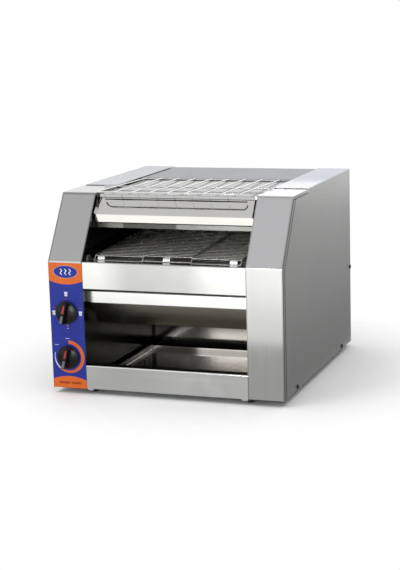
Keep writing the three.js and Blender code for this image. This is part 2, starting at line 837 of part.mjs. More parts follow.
function heater() {
  const bushStart = wallInner - seat * 2;
  const bushEnd = bushStart + heaterBush;
  const tip = bushEnd + heaterPin;
  const half = [[heaterRadius, bushStart], [heaterBushRadius, bushStart], [heaterBushRadius, bushEnd],
    [heaterPinRadius, bushEnd], [heaterPinRadius, tip], [0, tip]];
  const mirrored = half.map(([radius, place]) => [radius, -place]).reverse();
  return turned([...mirrored, ...half], 'x', heaterSides);
}

function lowerReflector() {
  const rear = beltCentres - panRearGap;
  const path = [[rear, panLip - panDrop], [rear, -panDrop], [panFront, -panDrop],
    [panFront, panLip - panDrop]];
  return acrossX(shapeOf(bentSheet(path)), -wallReach, wallReach);
}

// Chain drive.
const motorPitchRadius = chainPitch / (2 * Math.sin(Math.PI / motorTeeth));
const drivenPitchRadius = chainPitch / (2 * Math.sin(Math.PI / drivenTeeth));
const chainStraight = straightLinks * chainPitch;
const chainCentres = Math.hypot(chainStraight, drivenPitchRadius - motorPitchRadius);
const chainPlane = wallInner + sheet + chainWallGap + chainRunGap + chainPlate + chainSprocketWidth / 2;
const wheelFaces = [chainPlane - chainSprocketWidth / 2, chainPlane + chainSprocketWidth / 2];
const motorFace = wheelFaces[1] + hubLength + seat;

// The drive line runs from the motor up and back to the rear shaft.
const driveAngle = THREE.MathUtils.degToRad(driveLineAngle);
const tangentLean = Math.asin((drivenPitchRadius - motorPitchRadius) / chainCentres);
const drivenPlace = onBelt(beltCentres, 0);
const motorPlace = [drivenPlace[0] - chainCentres * Math.cos(driveAngle),
  drivenPlace[1] - chainCentres * Math.sin(driveAngle)];
const tangentAngle = driveAngle + Math.PI / 2 + tangentLean;

// Seats of the chain on both wheels, and the rollers of the whole loop.
function chainLoop() {
  const at = ([y, z], radius, angle) => [y + radius * Math.cos(angle), z + radius * Math.sin(angle)];
  const between = (from, to, links) => Array.from({ length: links - 1 }, (_, k) => [
    from[0] + ((to[0] - from[0]) * (k + 1)) / links, from[1] + ((to[1] - from[1]) * (k + 1)) / links]);
  const motorStep = (2 * Math.PI) / motorTeeth;
  const drivenStep = (2 * Math.PI) / drivenTeeth;
  const motorSeats = Math.round((Math.PI - 2 * tangentLean) / motorStep);
  const drivenSeats = Math.round((Math.PI + 2 * tangentLean) / drivenStep);
  const onMotor = Array.from({ length: motorSeats + 1 }, (_, k) =>
    at(motorPlace, motorPitchRadius, tangentAngle + (motorSeats - k) * motorStep));
  const onDriven = Array.from({ length: drivenSeats + 1 }, (_, k) =>
    at(drivenPlace, drivenPitchRadius, tangentAngle - k * drivenStep));
  const [first, leaves] = [onMotor[0], onMotor[motorSeats]];
  const [meets, last] = [onDriven[0], onDriven[drivenSeats]];
  const slackLinks = Math.round(Math.hypot(last[0] - first[0], last[1] - first[1]) / chainPitch);
  const taut = between(leaves, meets, straightLinks);
  const slack = between(last, first, slackLinks);
  return { seats: [...onMotor, ...onDriven], rollers: [...onMotor, ...taut, ...onDriven, ...slack] };
}

function driveChain() {
  const { seats, rollers } = chainLoop();
  const count = seats.length;
  const band = (distance) => seats.map((place, k) => {
    const into = unit(sub(place, seats[(k + count - 1) % count]));
    const out = unit(sub(seats[(k + 1) % count], place));
    const scale = distance / (1 + into[0] * out[0] + into[1] * out[1]);
    return [place[0] - scale * (into[1] + out[1]), place[1] + scale * (into[0] + out[0])];
  });
  const plate = shapeOf(band(chainPlateHalf), [band(-chainPlateHalf)]);
  const half = chainSprocketWidth / 2 + chainRunGap;
  const inner = acrossX(plate, chainPlane - half - chainPlate, chainPlane - half);
  const outer = acrossX(plate, chainPlane + half, chainPlane + half + chainPlate);
  const pins = rollers.map(([y, z]) => rod(chainRollerRadius, 'x', chainPlane - half - chainPlate / 2,
    chainPlane + half + chainPlate / 2, chainRollerSides).translate(0, y, z));
  return joined(inner, outer, ...pins);
}

function chainWheel(teeth, pitchRadius, holes) {
  const outline = wheelOutline(teeth, pitchRadius, chainRollerRadius + seatClearance, chainRollerRadius,
    toothHalfAngle * sprocketTeeth / teeth / 2);
  return acrossX(shapeOf(outline, holes), ...wheelFaces);
}

function drivenSprocket() {
  const bore = circle(0, 0, runningBore(shaftRadius));
  const hub = acrossX(shapeOf(circle(0, 0, hubRadius), [bore]), chainPlane, wheelFaces[1] + hubLength);
  return joined(chainWheel(drivenTeeth, drivenPitchRadius, [bore]), hub);
}

function motorSprocket() {
  const spindle = rod(shaftRadius, 'x', wheelFaces[0] - sheet, motorFace + motorShaftBore - seat);
  return joined(chainWheel(motorTeeth, motorPitchRadius, []), spindle);
}

function gearmotor() {
  const boxEnd = motorFace + gearboxThickness;
  const inside = motorFace + gearboxThickness / 2;
  const [halfLong, halfHigh] = [gearboxLength / 2, gearboxHeight / 2];
  const corners = [[0, -halfHigh], [-halfLong, -halfHigh], [-halfLong, halfHigh], [halfLong, halfHigh],
    [halfLong, -halfHigh], [0, -halfHigh]];
  const outline = roundedPath(corners, () => gearboxCorner).slice(0, -1);
  const box = acrossX(shapeOf(outline), motorFace, boxEnd);
  const can = rod(motorCanRadius, 'x', inside, boxEnd + motorCan, canSides);
  const wallFace = wallInner + sheet + seat;
  const legs = [[-1, -1], [1, -1], [-1, 1]].map(([along, up]) => rod(standoffRadius, 'x', wallFace, inside,
    railSides).translate(0, along * standoffAlong, up * standoffAcross));
  const bore = rod(runningBore(shaftRadius), 'x', motorFace - overrun, motorFace + motorShaftBore);
  return cut(joined(box, can, ...legs), bore);
}

// Controls.
function overlay() {
  const top = bendHeight - overlayTopGap;
  const outline = [[-halfWidth, overlayBottom], [-cavityHalf, overlayBottom], [-cavityHalf, top],
    [-halfWidth, top]];
  const holes = [selectorHeight, speedHeight].map((place) => circle(-columnMiddle, place, overlayHole));
  return alongY(shapeOf(outline, holes), -seat - overlayThickness, -seat);
}

function switchNeck() {
  const front = -seat - overlayThickness - knobGap + switchNeckGap;
  return rod(switchNeckRadius, 'y', front, sheet + seat + overrun);
}

function switchTabs(rear) {
  return [[-1, -1], [-1, 1], [1, -1], [1, 1]].map(([a, b]) => block(a * tabSpread - tabWidth / 2,
    a * tabSpread + tabWidth / 2, rear - sheet, rear + tabLength, b * tabSpread - tabThickness / 2,
    b * tabSpread + tabThickness / 2));
}

function spindleBore() {
  return rod(runningBore(spindleRadius), 'y', -overrun, sheet + seat + spindleDepth + seat);
}

function selectorSwitch() {
  const half = switchSize / 2;
  const start = sheet + seat;
  const rear = start + switchDepth;
  const ring = [[0, -half], [half, -half], [half, half], [-half, half], [-half, -half], [0, -half]];
  const outline = roundedPath(ring, () => gearboxCorner).slice(0, -1);
  const body = alongY(shapeOf(outline), start, rear);
  return cut(joined(body, switchNeck(), ...switchTabs(rear)), spindleBore());
}

function speedControl() {
  const start = sheet + seat;
  const rear = start + speedBodyDepth;
  const body = rod(speedBodyRadius, 'y', start, rear, canSides);
  const lug = block(-tabSpread, tabSpread, start, start + sheet * 2, -speedBodyRadius - tabLength, 0);
  const tabs = [-1, 0, 1].map((k) => block(k * tabWidth - tabThickness, k * tabWidth + tabThickness,
    rear - sheet * 3, rear - sheet * 2, -speedBodyRadius - tabLength, 0));
  return cut(joined(body, lug, ...tabs, switchNeck()), spindleBore());
}

// The knob's own frame: y = 0 at its back face, front towards -Y, pointer up.
function knob() {
  const skirt = turned([[0, -knobSkirt], [knobRadius - knobBevel, -knobSkirt],
    [knobRadius, knobBevel - knobSkirt], [knobRadius, 0], [0, 0]], 'y', knobSides);
  const gripTop = -knobSkirt - gripHeight;
  const reach = knobRadius - knobBevel;
  const half = gripWidth / 2;
  const side = shapeOf([[half, 0], [half, -knobSkirt], [half - gripTaper, gripTop],
    [gripTaper - half, gripTop], [-half, -knobSkirt], [-half, 0]]);
  const bar = upwards(side, -reach, reach);
  const ends = turned([[0, gripTop], [reach - gripTaper, gripTop], [reach, -knobSkirt],
    [reach, -knobSkirt / 2], [0, -knobSkirt / 2]], 'y', knobSides);
  const grip = geometryOf(solidOf(bar).intersect(solidOf(ends)));
  const recess = rod(switchNeckRadius + seat * 2, 'y', -knobGap - overlayThickness, overrun);
  const spindle = rod(spindleRadius, 'y', -knobSkirt / 2, knobReach - knobSkirt - gripHeight - pointerStand
    + sheet + spindleDepth);
  const groove = pointerShape(seat).translate(0, gripTop, 0);
  return cut(joined(cut(joined(skirt, grip), recess), spindle), groove);
}

// Tapered bar over the upper half of the grip; room widens it into its groove.
function pointerShape(room) {
  const start = pointerBase / 2;
  const end = knobRadius - knobBevel - gripTaper - pointerTip;
  const outline = [[-pointerBase / 2 - room, start - room], [pointerBase / 2 + room, start - room],
    [pointerTip / 2 + room, end + room], [-pointerTip / 2 - room, end + room]];
  const front = room > 0 ? -overrun : -pointerStand;
  return alongY(shapeOf(outline), front, pointerGroove - seat + room);
}

// Loose warming rack, drawn level with its long rail at y = 0 and its front standing out over the hood.
function warmingRack() {
  const half = cavityHalf - rackSideGap;
  const pitch = (2 * half) / (rackWires - 1);
  const [front, rear] = [rackFront - rackPlace, topPanelStart - rackRearGap - rackPlace];
  const wires = Array.from({ length: rackWires }, (_, k) => rod(rackRadius, 'y', front, rear, pinSides)
    .translate(k * pitch - half, 0, rackRadius));
  const rail = (place, reach) => rod(rackRadius, 'x', -reach, reach, pinSides).translate(0, place, 0);
  const rails = [front, front + rackFrontRails, rear].map((place) => rail(place, half + rackRadius));
  return joined(...rails, rail(0, half + rackRest), ...wires);
}

// Fan in the left-hand column, its frame against the rear panel.
function fanFrame() {
  const half = fanSize / 2;
  const outline = [[-half, -half], [half, -half], [half, half], [-half, half]];
  const ring = alongY(shapeOf(outline, [circle(0, 0, fanBore, fanBoreSides)]), 0, fanThickness);
  const struts = [block(-half + sheet, half - sheet, 0, sheet * 2, -fanStrut / 2, fanStrut / 2),
    block(-fanStrut / 2, fanStrut / 2, 0, sheet * 2, -half + sheet, half - sheet)];
  const motorBoss = rod(fanHub, 'y', 0, fanMotorDepth);
  return cut(joined(ring, ...struts, motorBoss), rod(runningBore(fanPinRadius), 'y', sheet, fanThickness));
}

function fanRotor() {
  const start = fanMotorDepth + seat;
  const end = fanThickness - sheet;
  const hub = rod(fanHub, 'y', start, end);
  const pin = rod(fanPinRadius, 'y', sheet + seat, start + sheet, railSides);
  const chord = (end - start) * bladeChordShare;
  const lean = THREE.MathUtils.degToRad(bladePitch);
  const reach = Math.sqrt((fanBore * Math.cos(Math.PI / fanBoreSides) - fanTipGap) ** 2
    - (chord * Math.sin(lean) / 2 + bladeThickness) ** 2);
  const blades = Array.from({ length: fanBlades }, (_, k) => block(-bladeThickness / 2, bladeThickness / 2,
    -chord / 2, chord / 2, fanHub / 2, reach).rotateZ(lean).translate(0, (start + end) / 2, 0)
    .rotateY((2 * Math.PI * k) / fanBlades));
  return joined(hub, ...blades, pin);
}

function terminalBlock() {
  const half = terminalLength / 2;
  const way = terminalLength / terminalWays;
  const outline = [[-half, 0], [half, 0], [half, terminalHeight]];
  for (let k = terminalWays - 1; k > 0; k -= 1) {
    const at = -half + k * way;
    outline.push([at + sheet, terminalHeight], [at + sheet, terminalHeight / 2],
      [at - sheet, terminalHeight / 2], [at - sheet, terminalHeight]);
  }
  outline.push([-half, terminalHeight]);
  const body = alongY(shapeOf(outline), -terminalDepth / 2, terminalDepth / 2);
  const wells = Array.from({ length: terminalWays }, (_, k) => rod(terminalRadius, 'z', terminalHeight / 2,
    terminalHeight + overrun, pinSides).translate(-half + (k + 0.5) * way, 0, 0));
  return cut(body, ...wells);
}

function cableGland() {
  const inside = rearInner - glandNut;
  const face = rearInner + sheet + seat;
  const end = depth + glandReach;
  const profile = [[glandBore, inside], [glandHoleRadius, inside], [glandHoleRadius, face],
    [glandFlangeRadius, face], [glandFlangeRadius, (face + end) / 2], [glandHoleRadius - sheet, end],
    [glandBore, end], [glandBore, inside]];
  return turned(profile, 'y');
}

// Assembly.
const toaster = new THREE.Group();
const casing = new THREE.Group();
casing.position.set(0, -(depth + glandReach - knobReach) / 2, footHeight);
toaster.add(casing);

casing.add(mesh('base_pan', basePan(), 'galvanised'));
for (const [end, place] of Object.entries({ front: footSetback, rear: depth - footSetback })) {
  for (const [name, side] of Object.entries({ left: -1, right: 1 })) {
    const piece = mesh(`foot_${end}_${name}`, foot(), 'rubber');
    piece.position.set(side * (halfWidth - footInset), place, 0);
    casing.add(piece);
  }
}
for (const [name, side] of Object.entries({ left: -1, right: 1 })) {
  const controls = side < 0 ? [selectorHeight, speedHeight] : [];
  casing.add(mesh(`${name}_inner_wall`, innerWall(side), 'casing'));
  casing.add(mesh(`${name}_column_front`, columnFront(side, controls), 'casing'));
  casing.add(mesh(`${name}_side_cover`, sideCover(side), 'casing'));
  casing.add(mesh(`${name}_tray_runner`, trayRunner(side), 'galvanised'));
}
casing.add(mesh('rear_panel', rearPanel(), 'galvanised'));
casing.add(mesh('top_panel', topPanel(), 'casing'));
casing.add(mesh('warming_shelf', warmingShelf(), 'mirror'));
casing.add(mesh('hood_front', hoodFront(), 'mirror'));
casing.add(mesh('upper_reflector', upperReflector(), 'mirror'));
casing.add(mesh('front_apron', frontApron(), 'casing'));
casing.add(mesh('lower_deflector', lowerDeflector(), 'mirror'));
casing.add(mesh('return_slide', returnSlide(), 'mirror'));
casing.add(mesh('tray_pan', trayPan(), 'mirror'));
casing.add(mesh('tray_front', trayFront(), 'casing'));

// The rack's long rail lies on both columns and its rear rail one recess lower, on the shelf.
const rack = mesh('warming_rack', warmingRack(), 'plated');
rack.position.set(rackShift, rackPlace, height + seat + rackRadius);
rack.rotation.x = -Math.atan(shelfRecess / (topPanelStart - rackRearGap - rackPlace));
casing.add(rack);

for (const [name, share] of Object.entries(upperHeaterShares)) {
  const piece = mesh(`upper_heater_${name}`, heater(), 'heater');
  piece.position.set(0, share * depth, upperHeaterHeight);
  casing.add(piece);
}

// Everything on the sloping belt line shares one turned group.
const conveyor = new THREE.Group();
conveyor.position.set(0, frontAxisDepth, frontAxisHeight);
conveyor.rotation.x = THREE.MathUtils.degToRad(beltAngle);
casing.add(conveyor);
conveyor.add(mesh('wire_belt', wireBelt(), 'plated'));
conveyor.add(mesh('belt_support', beltSupport(), 'plated'));
conveyor.add(mesh('lower_reflector', lowerReflector(), 'mirror'));
for (const [name, along] of lowerHeaterAlong()) {
  const piece = mesh(`lower_heater_${name}`, heater(), 'heater');
  piece.position.set(0, along, 0);
  conveyor.add(piece);
}
const shaftReach = wallInner + sheet + bearingBarrel + shaftOverhang;
const driveReach = wheelFaces[1] + hubLength + shaftOverhang;
for (const [name, along, reach] of [['front', 0, shaftReach], ['drive', beltCentres, driveReach]]) {
  const line = new THREE.Group();
  line.position.set(0, along, 0);
  conveyor.add(line);
  line.add(mesh(`${name}_shaft`, rod(shaftRadius, 'x', -shaftReach, reach), 'plated'));
  for (const [place, x] of Object.entries({ left: -sprocketSpread, middle: 0, right: sprocketSpread })) {
    line.add(mesh(`${name}_sprocket_${place}`, beltSprocket(x), 'plated'));
  }
  for (const [sideName, side] of Object.entries({ left: -1, right: 1 })) {
    line.add(mesh(`${name}_bearing_${sideName}`, bearing(side), 'galvanised'));
  }
}

// Drive pieces, with both wheels turned so that a seat meets the chain where it leaves them.
const wheelTurn = tangentAngle - Math.PI / 2;
const driven = mesh('driven_sprocket', drivenSprocket(), 'galvanised');
driven.position.set(0, ...drivenPlace);
driven.rotation.x = wheelTurn;
const pinion = mesh('motor_sprocket', motorSprocket(), 'galvanised');
pinion.position.set(0, ...motorPlace);
pinion.rotation.x = wheelTurn;
const motor = mesh('gearmotor', gearmotor(), 'motor');
motor.position.set(0, ...motorPlace);
casing.add(driven, pinion, motor, mesh('drive_chain', driveChain(), 'galvanised'));

// Controls on the left-hand column.
casing.add(mesh('control_overlay', overlay(), 'print'));
const controlBodies = [
  ['selector', selectorHeight, mesh('selector_switch', selectorSwitch(), 'black')],
  ['speed', speedHeight, mesh('speed_control', speedControl(), 'black')],
];
for (const [name, place, body] of controlBodies) {
  const post = new THREE.Group();
  post.position.set(-columnMiddle, 0, place);
  post.add(body);
  const handle = new THREE.Group();
  handle.position.set(0, -seat - overlayThickness - knobGap, 0);
  handle.rotation.y = THREE.MathUtils.degToRad(gripAngle);
  const insert = mesh(`${name}_pointer`, pointerShape(0), 'red');
  insert.position.set(0, -knobSkirt - gripHeight, 0);
  handle.add(mesh(`${name}_knob`, knob(), 'black'), insert);
  post.add(handle);
  casing.add(post);
}

// Fan, terminals and cable inlet at the rear.
const fan = new THREE.Group();
fan.position.set(-columnMiddle, rearInner - seat - fanThickness, fanHeight);
fan.add(mesh('fan_frame', fanFrame(), 'black'), mesh('fan_rotor', fanRotor(), 'black'));
casing.add(fan);
const terminals = mesh('terminal_block', terminalBlock(), 'black');
terminals.position.set(columnMiddle, depth - fanThickness * 3, panTop + seat);
casing.add(terminals);
const gland = mesh('cable_gland', cableGland(), 'black');
gland.position.set(columnMiddle, 0, glandHeight);
casing.add(gland);

export default toaster;
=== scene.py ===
"""Looks of a countertop conveyor toaster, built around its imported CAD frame.

Metres, +Z up, the controls face -Y. The casing's own coordinates have y = 0 on its front face and z = 0 on
its bottom edge; Casing.point turns them into the frame's.
"""

import logging
import math
from collections.abc import Callable, Sequence
from dataclasses import dataclass, replace
from enum import Enum
from functools import reduce
from typing import Union

import bmesh
import bpy
from mathutils import Euler, Matrix, Vector


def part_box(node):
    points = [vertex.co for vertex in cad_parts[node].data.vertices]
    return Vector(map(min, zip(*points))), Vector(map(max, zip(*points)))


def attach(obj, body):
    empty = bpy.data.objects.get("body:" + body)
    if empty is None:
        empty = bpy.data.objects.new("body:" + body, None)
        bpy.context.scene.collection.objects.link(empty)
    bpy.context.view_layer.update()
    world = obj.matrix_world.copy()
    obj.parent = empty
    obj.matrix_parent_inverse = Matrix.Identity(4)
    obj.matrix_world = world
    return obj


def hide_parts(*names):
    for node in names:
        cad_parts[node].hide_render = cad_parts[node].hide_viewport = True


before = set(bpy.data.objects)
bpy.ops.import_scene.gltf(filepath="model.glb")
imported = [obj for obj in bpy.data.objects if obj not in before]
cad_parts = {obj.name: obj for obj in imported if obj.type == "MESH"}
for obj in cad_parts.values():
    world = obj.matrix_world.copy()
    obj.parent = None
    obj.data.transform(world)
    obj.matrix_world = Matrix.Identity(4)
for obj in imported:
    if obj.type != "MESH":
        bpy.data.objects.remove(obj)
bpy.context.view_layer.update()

log = logging.getLogger("toaster")

Colour = tuple[float, float, float]
Triple = tuple[float, float, float]
Pair = tuple[float, float]
Path = Sequence[Vector]
Operand = Union["Signal", float, Triple]
Looks = dict[str, Operand]
BMesh = bmesh.types.BMesh
Mesh = bpy.types.Mesh
Object = bpy.types.Object

# Face attributes that finishes read: rounded edges, and faces that look down, sideways and up.
EDGE, UNDER, FLANK, OVER = "edge", "under", "flank", "over"
# Point attributes: a fastener's rotation, and a card corner's share of the card's width.
TURN, SHARE = "turn", "share"

# Edges sharper than SHARP are rounded, edges flatter than FLAT are dissolved, points nearer than MERGE are one.
SHARP = math.radians(38)
FLAT = math.radians(0.4)
MERGE = 2e-6

MILLIMETRES = 1000.0
WHITE = (1.0, 1.0, 1.0)
SIDES = ("left", "right")
RIGHTWARD = Vector((1, 0, 0))
REARWARD = Vector((0, 1, 0))
UPWARD = Vector((0, 0, 1))


# Shader maths.


class Signal:
    """A node's output that can be used in sums, products and comparisons."""

    def __init__(self, graph: "Graph", socket: bpy.types.NodeSocket) -> None:
        """Wraps one output.

        Args:
            graph: The graph that the socket belongs to.
            socket: The output to wrap.
        """
        self.graph = graph
        self.socket = socket

    @property
    def is_vector(self) -> bool:
        """Whether the output carries three numbers."""
        return self.socket.type in ("VECTOR", "RGBA")

    def _join(self, operation: str, other: Operand, swapped: bool = False) -> "Signal":
        """Adds one maths node for this output and another value.

        Args:
            operation: The node's operation, such as ADD.
            other: The other value.
            swapped: Whether the other value comes first.

        Returns:
            The node's output.
        """
        first, second = (other, self) if swapped else (self, other)
        vector = self.is_vector or (isinstance(other, Signal) and other.is_vector) or isinstance(other, tuple)
        node = self.graph.node("ShaderNodeVectorMath" if vector else "ShaderNodeMath", {"operation": operation})
        for socket, value in zip(node.inputs, (first, second)):
            number = isinstance(value, (int, float))
            self.graph.feed(socket, (value,) * 3 if vector and number else value)
        return Signal(self.graph, node.outputs[0])

    def __add__(self, other: Operand) -> "Signal":
        """This plus another value."""
        return self._join("ADD", other)

    def __radd__(self, other: Operand) -> "Signal":
        """Another value plus this."""
        return self._join("ADD", other, swapped=True)

    def __sub__(self, other: Operand) -> "Signal":
        """This less another value."""
        return self._join("SUBTRACT", other)

    def __rsub__(self, other: Operand) -> "Signal":
        """Another value less this."""
        return self._join("SUBTRACT", other, swapped=True)

    def __mul__(self, other: Operand) -> "Signal":
        """This times another value."""
        return self._join("MULTIPLY", other)

    def __rmul__(self, other: Operand) -> "Signal":
        """Another value times this."""
        return self._join("MULTIPLY", other, swapped=True)

    def __truediv__(self, other: Operand) -> "Signal":
        """This over another value."""
        return self._join("DIVIDE", other)

    def __rtruediv__(self, other: Operand) -> "Signal":
        """Another value over this."""
        return self._join("DIVIDE", other, swapped=True)

    def __pow__(self, other: float) -> "Signal":
        """This to a power."""
        return self._join("POWER", other)

    def __neg__(self) -> "Signal":
        """This with its sign turned."""
        return self._join("MULTIPLY", -1.0)

    def least(self, other: Operand) -> "Signal":
        """The smaller of this and another value."""
        return self._join("MINIMUM", other)

    def most(self, other: Operand) -> "Signal":
        """The larger of this and another value."""
        return self._join("MAXIMUM", other)

    def size(self) -> "Signal":
        """The value without its sign."""
        return self.graph.out("ShaderNodeMath", 0, {"operation": "ABSOLUTE"}, Value=self)

    def ramp(self, start: float, end: float, low: float = 0.0, high: float = 1.0) -> "Signal":
        """A smooth step from low to high while this goes from start to end."""
        return self.graph.out("ShaderNodeMapRange", "Result", {"interpolation_type": "SMOOTHSTEP"}, Value=self,
                              From_Min=start, From_Max=end, To_Min=low, To_Max=high)

    def line(self, middle: Operand, outer: float, inner: float) -> "Signal":
        """A soft line about a value: 0 beyond outer from it, 1 within inner of it."""
        return (self - middle).size().ramp(outer, inner)

    def step(self, place: float, half: float) -> "Signal":
        """A narrow smooth step up through a place; a negative half makes it a step down."""
        return self.ramp(place - half, place + half)

    def parts(self) -> tuple["Signal", "Signal", "Signal"]:
        """The three components of a vector."""
        node = self.graph.node("ShaderNodeSeparateXYZ", Vector=self)
        return tuple(Signal(self.graph, node.outputs[name]) for name in "XYZ")


class Graph:
    """A node tree in the making."""

    def __init__(self, tree: bpy.types.NodeTree) -> None:
        """Starts on an empty tree.

        Args:
            tree: The tree to fill.
        """
        self.tree = tree
        tree.nodes.clear()

    def node(self, kind: str, settings: dict | None = None, **inputs: Operand) -> bpy.types.Node:
        """Adds a node of any type.

        Args:
            kind: The node's type name.
            settings: The node's own settings, set before its inputs.
            inputs: Signals to link or values to set, by input name with underscores for spaces.

        Returns:
            The new node.
        """
        made = self.tree.nodes.new(kind)
        for key, value in (settings or {}).items():
            setattr(made, key, value)
        for key, value in inputs.items():
            self.feed(made.inputs[key.replace("_", " ")], value)
        return made

    def feed(self, socket: bpy.types.NodeSocket, value: Operand) -> None:
        """Links a Signal to an input, or sets the input's own value.

        Args:
            socket: The input.
            value: A Signal, a number or a tuple.
        """
        if isinstance(value, Signal):
            self.tree.links.new(value.socket, socket)
        elif socket.type == "RGBA" and len(value) == 3:
            socket.default_value = (*value, 1.0)
        else:
            socket.default_value = value

    def out(self, kind: str, output: str | int = 0, settings: dict | None = None, **inputs: Operand) -> Signal:
        """Adds a node and gives one of its outputs as a Signal."""
        return Signal(self, self.node(kind, settings, **inputs).outputs[output])

    def place(self) -> Signal:
        """The point in the object's own coordinates."""
        return self.out("ShaderNodeTexCoord", "Object")

    def mark(self, name: str) -> Signal:
        """An attribute of the mesh as a number."""
        return self.out("ShaderNodeAttribute", "Fac", {"attribute_name": name})

    def noise(self, scale: Triple | float, detail: float = 3.0, spread: float = 0.55) -> Signal:
        """Noise on the object's coordinates, about 0.5 on average.

        Args:
            scale: Features per metre, one number or one for each axis.
            detail: The noise's octaves.
            spread: How strong the finer octaves are.

        Returns:
            The noise as a number.
        """
        stretch = scale if isinstance(scale, tuple) else (scale,) * 3
        return self.out("ShaderNodeTexNoise", "Fac", Vector=self.place() * stretch, Scale=1.0, Detail=detail,
                        Roughness=spread)

    def blend(self, share: Signal | float, first: Signal | Colour, second: Signal | Colour,
              mode: str = "MIX") -> Signal:
        """Mixes two colours.

        Args:
            share: How much of the second colour is mixed in, from 0 to 1.
            first: The first colour.
            second: The second colour.
            mode: How they are mixed.

        Returns:
            The mixed colour.
        """
        node = self.node("ShaderNodeMix", {"data_type": "RGBA", "blend_type": mode, "clamp_result": False})
        sockets = {s.identifier: s for s in node.inputs}
        for name, value in (("Factor_Float", share), ("A_Color", first), ("B_Color", second)):
            self.feed(sockets[name], value)
        return Signal(self, next(s for s in node.outputs if s.identifier == "Result_Color"))

    def shade(self, colour: Signal | Colour, level: Signal) -> Signal:
        """A colour made lighter or darker by a number near 1."""
        grey = self.out("ShaderNodeCombineXYZ", X=level, Y=level, Z=level)
        return self.blend(1.0, colour, grey, "MULTIPLY")

    def relief(self, height: Signal, depth: float) -> Signal:
        """A bumped normal; depth is in metres."""
        return self.out("ShaderNodeBump", Height=height, Distance=depth, Strength=1.0)

    def mixed(self, share: Signal, first: Signal, second: Signal) -> Signal:
        """Mixes two shaders.

        Args:
            share: How much of the second shader is mixed in.
            first: The first shader.
            second: The second shader.

        Returns:
            The mixed shader.
        """
        node = self.node("ShaderNodeMixShader", Fac=share)
        for socket, value in zip(node.inputs[1:], (first, second)):
            self.feed(socket, value)
        return Signal(self, node.outputs[0])


class Grain(Enum):
    """Which way a sheet was brushed, as features per metre on each axis of its coarse streaks."""

    ALONG_X = (3.0, 260.0, 260.0)
    ALONG_Z = (260.0, 260.0, 3.0)
    ACROSS_X = (260.0, 3.0, 3.0)


@dataclass(frozen=True)
class Finish:
    """What every finish has: a name, a mean colour and a mean roughness."""

    name: str
    colour: Colour
    roughness: float

    def material(self) -> bpy.types.Material:
        """The finish as a material, made once.

        Returns:
            The material.
        """
        known = bpy.data.materials.get(self.name)
        if known:
            return known
        made = bpy.data.materials.new(self.name)
        made.use_nodes = True
        graph = Graph(made.node_tree)
        shader = graph.out("ShaderNodeBsdfPrincipled", 0, None, **({"Roughness": self.roughness} | self.looks(graph)))
        graph.node("ShaderNodeOutputMaterial", Surface=self.surface(graph, shader))
        made.diffuse_color = (*self.colour, 1.0)
        return made

    def looks(self, graph: Graph) -> Looks:
        """The finish's own detail.

        Args:
            graph: The material's graph.

        Returns:
            The shader's inputs by name.
        """
        raise NotImplementedError

    def surface(self, graph: Graph, shader: Signal) -> Signal:
        """What the material shows, which is the shader alone unless a finish mixes something in."""
        return shader


@dataclass(frozen=True)
class SheetSteel(Finish):
    """Stainless sheet: brushed or polished, clouded and tinted by heat, with painted light and shade on its edges,
    undersides, sides and tops.
    """

    FINE_SCALE = 6.0
    FINE_SHARE = 0.4
    PATCH_SCALE = 3.1
    STAIN_SCALE = 11.0
    STREAK_ROUGH = 0.14
    CLOUD_ROUGH = 0.10
    LEAST_ROUGH = 0.03

    grain: Grain = Grain.ALONG_X
    streak: float = 0.10
    cloud: float = 0.12
    smudge: float = 0.10
    heat: float = 0.0
    depth: float = 0.00002
    # Painted light on the rounded edges, or painted shade where this is below 0.
    edge_gain: float = 0.35
    cloud_scale: float = 7.0
    heat_colour: Colour = (0.52, 0.36, 0.20)
    # Painted shade on faces that look down.
    underside_shade_colour: Colour = (0.10, 0.095, 0.075)
    # How much darker or lighter sides and tops are painted, as painted light and shade.
    flank: float = 1.0
    grazing: float = 1.0
    over: float = 1.0

    def marked(self, graph: Graph, tone: Signal) -> Signal:
        """Adds what only some sheets have, such as seams; a plain sheet has nothing more.

        Args:
            graph: The material's graph.
            tone: The sheet's colour so far.

        Returns:
            The colour with the marks.
        """
        return tone

    def looks(self, graph: Graph) -> Looks:
        """Streaks and clouds in colour and roughness, a fine grain as bump, heat stains, and painted light and shade
        on edges, undersides, sides and tops.

        Args:
            graph: The material's graph.

        Returns:
            The shader's inputs by name.
        """
        streak = graph.noise(self.grain.value, detail=4.0, spread=0.7)
        fine = graph.noise(tuple(self.FINE_SCALE * number for number in self.grain.value), detail=2.0, spread=0.6)
        cloud = graph.noise(self.cloud_scale, detail=3.0, spread=0.5)
        patch = graph.noise(self.cloud_scale * self.PATCH_SCALE, detail=4.0, spread=0.6).ramp(0.52, 0.72)
        # Painted light or shade on the rounded edges.
        edge_light = graph.mark(EDGE) * (0.4 + fine)
        level = (1.0 + self.streak * (streak - 0.5) + self.cloud * (cloud - 0.5)
                 + self.FINE_SHARE * self.streak * (fine - 0.5) + self.edge_gain * edge_light)
        tone = graph.shade(self.colour, level)
        if self.heat > 0:
            dark_patch = graph.noise(self.STAIN_SCALE, detail=4.0, spread=0.6).ramp(0.38, 0.68) * self.heat
            tone = graph.blend(dark_patch, tone, self.heat_colour, "MULTIPLY")
        # Painted shade on faces that look down, then painted light and shade on sides and tops.
        tone = graph.blend(graph.mark(UNDER) * (0.80 + 0.4 * cloud), tone, self.underside_shade_colour)
        tone = graph.shade(tone, 1.0 - graph.mark(FLANK) * (1.0 - self.flank) - graph.mark(OVER) * (1.0 - self.over))
        rough = (self.roughness + self.STREAK_ROUGH * (streak - 0.5) + self.smudge * patch
                 + self.CLOUD_ROUGH * (cloud - 0.5))
        return dict(Specular_Tint=(self.grazing,) * 3, Base_Color=self.marked(graph, tone), Metallic=1.0,
                    Roughness=rough.most(self.LEAST_ROUGH), Normal=graph.relief(fine, self.depth))


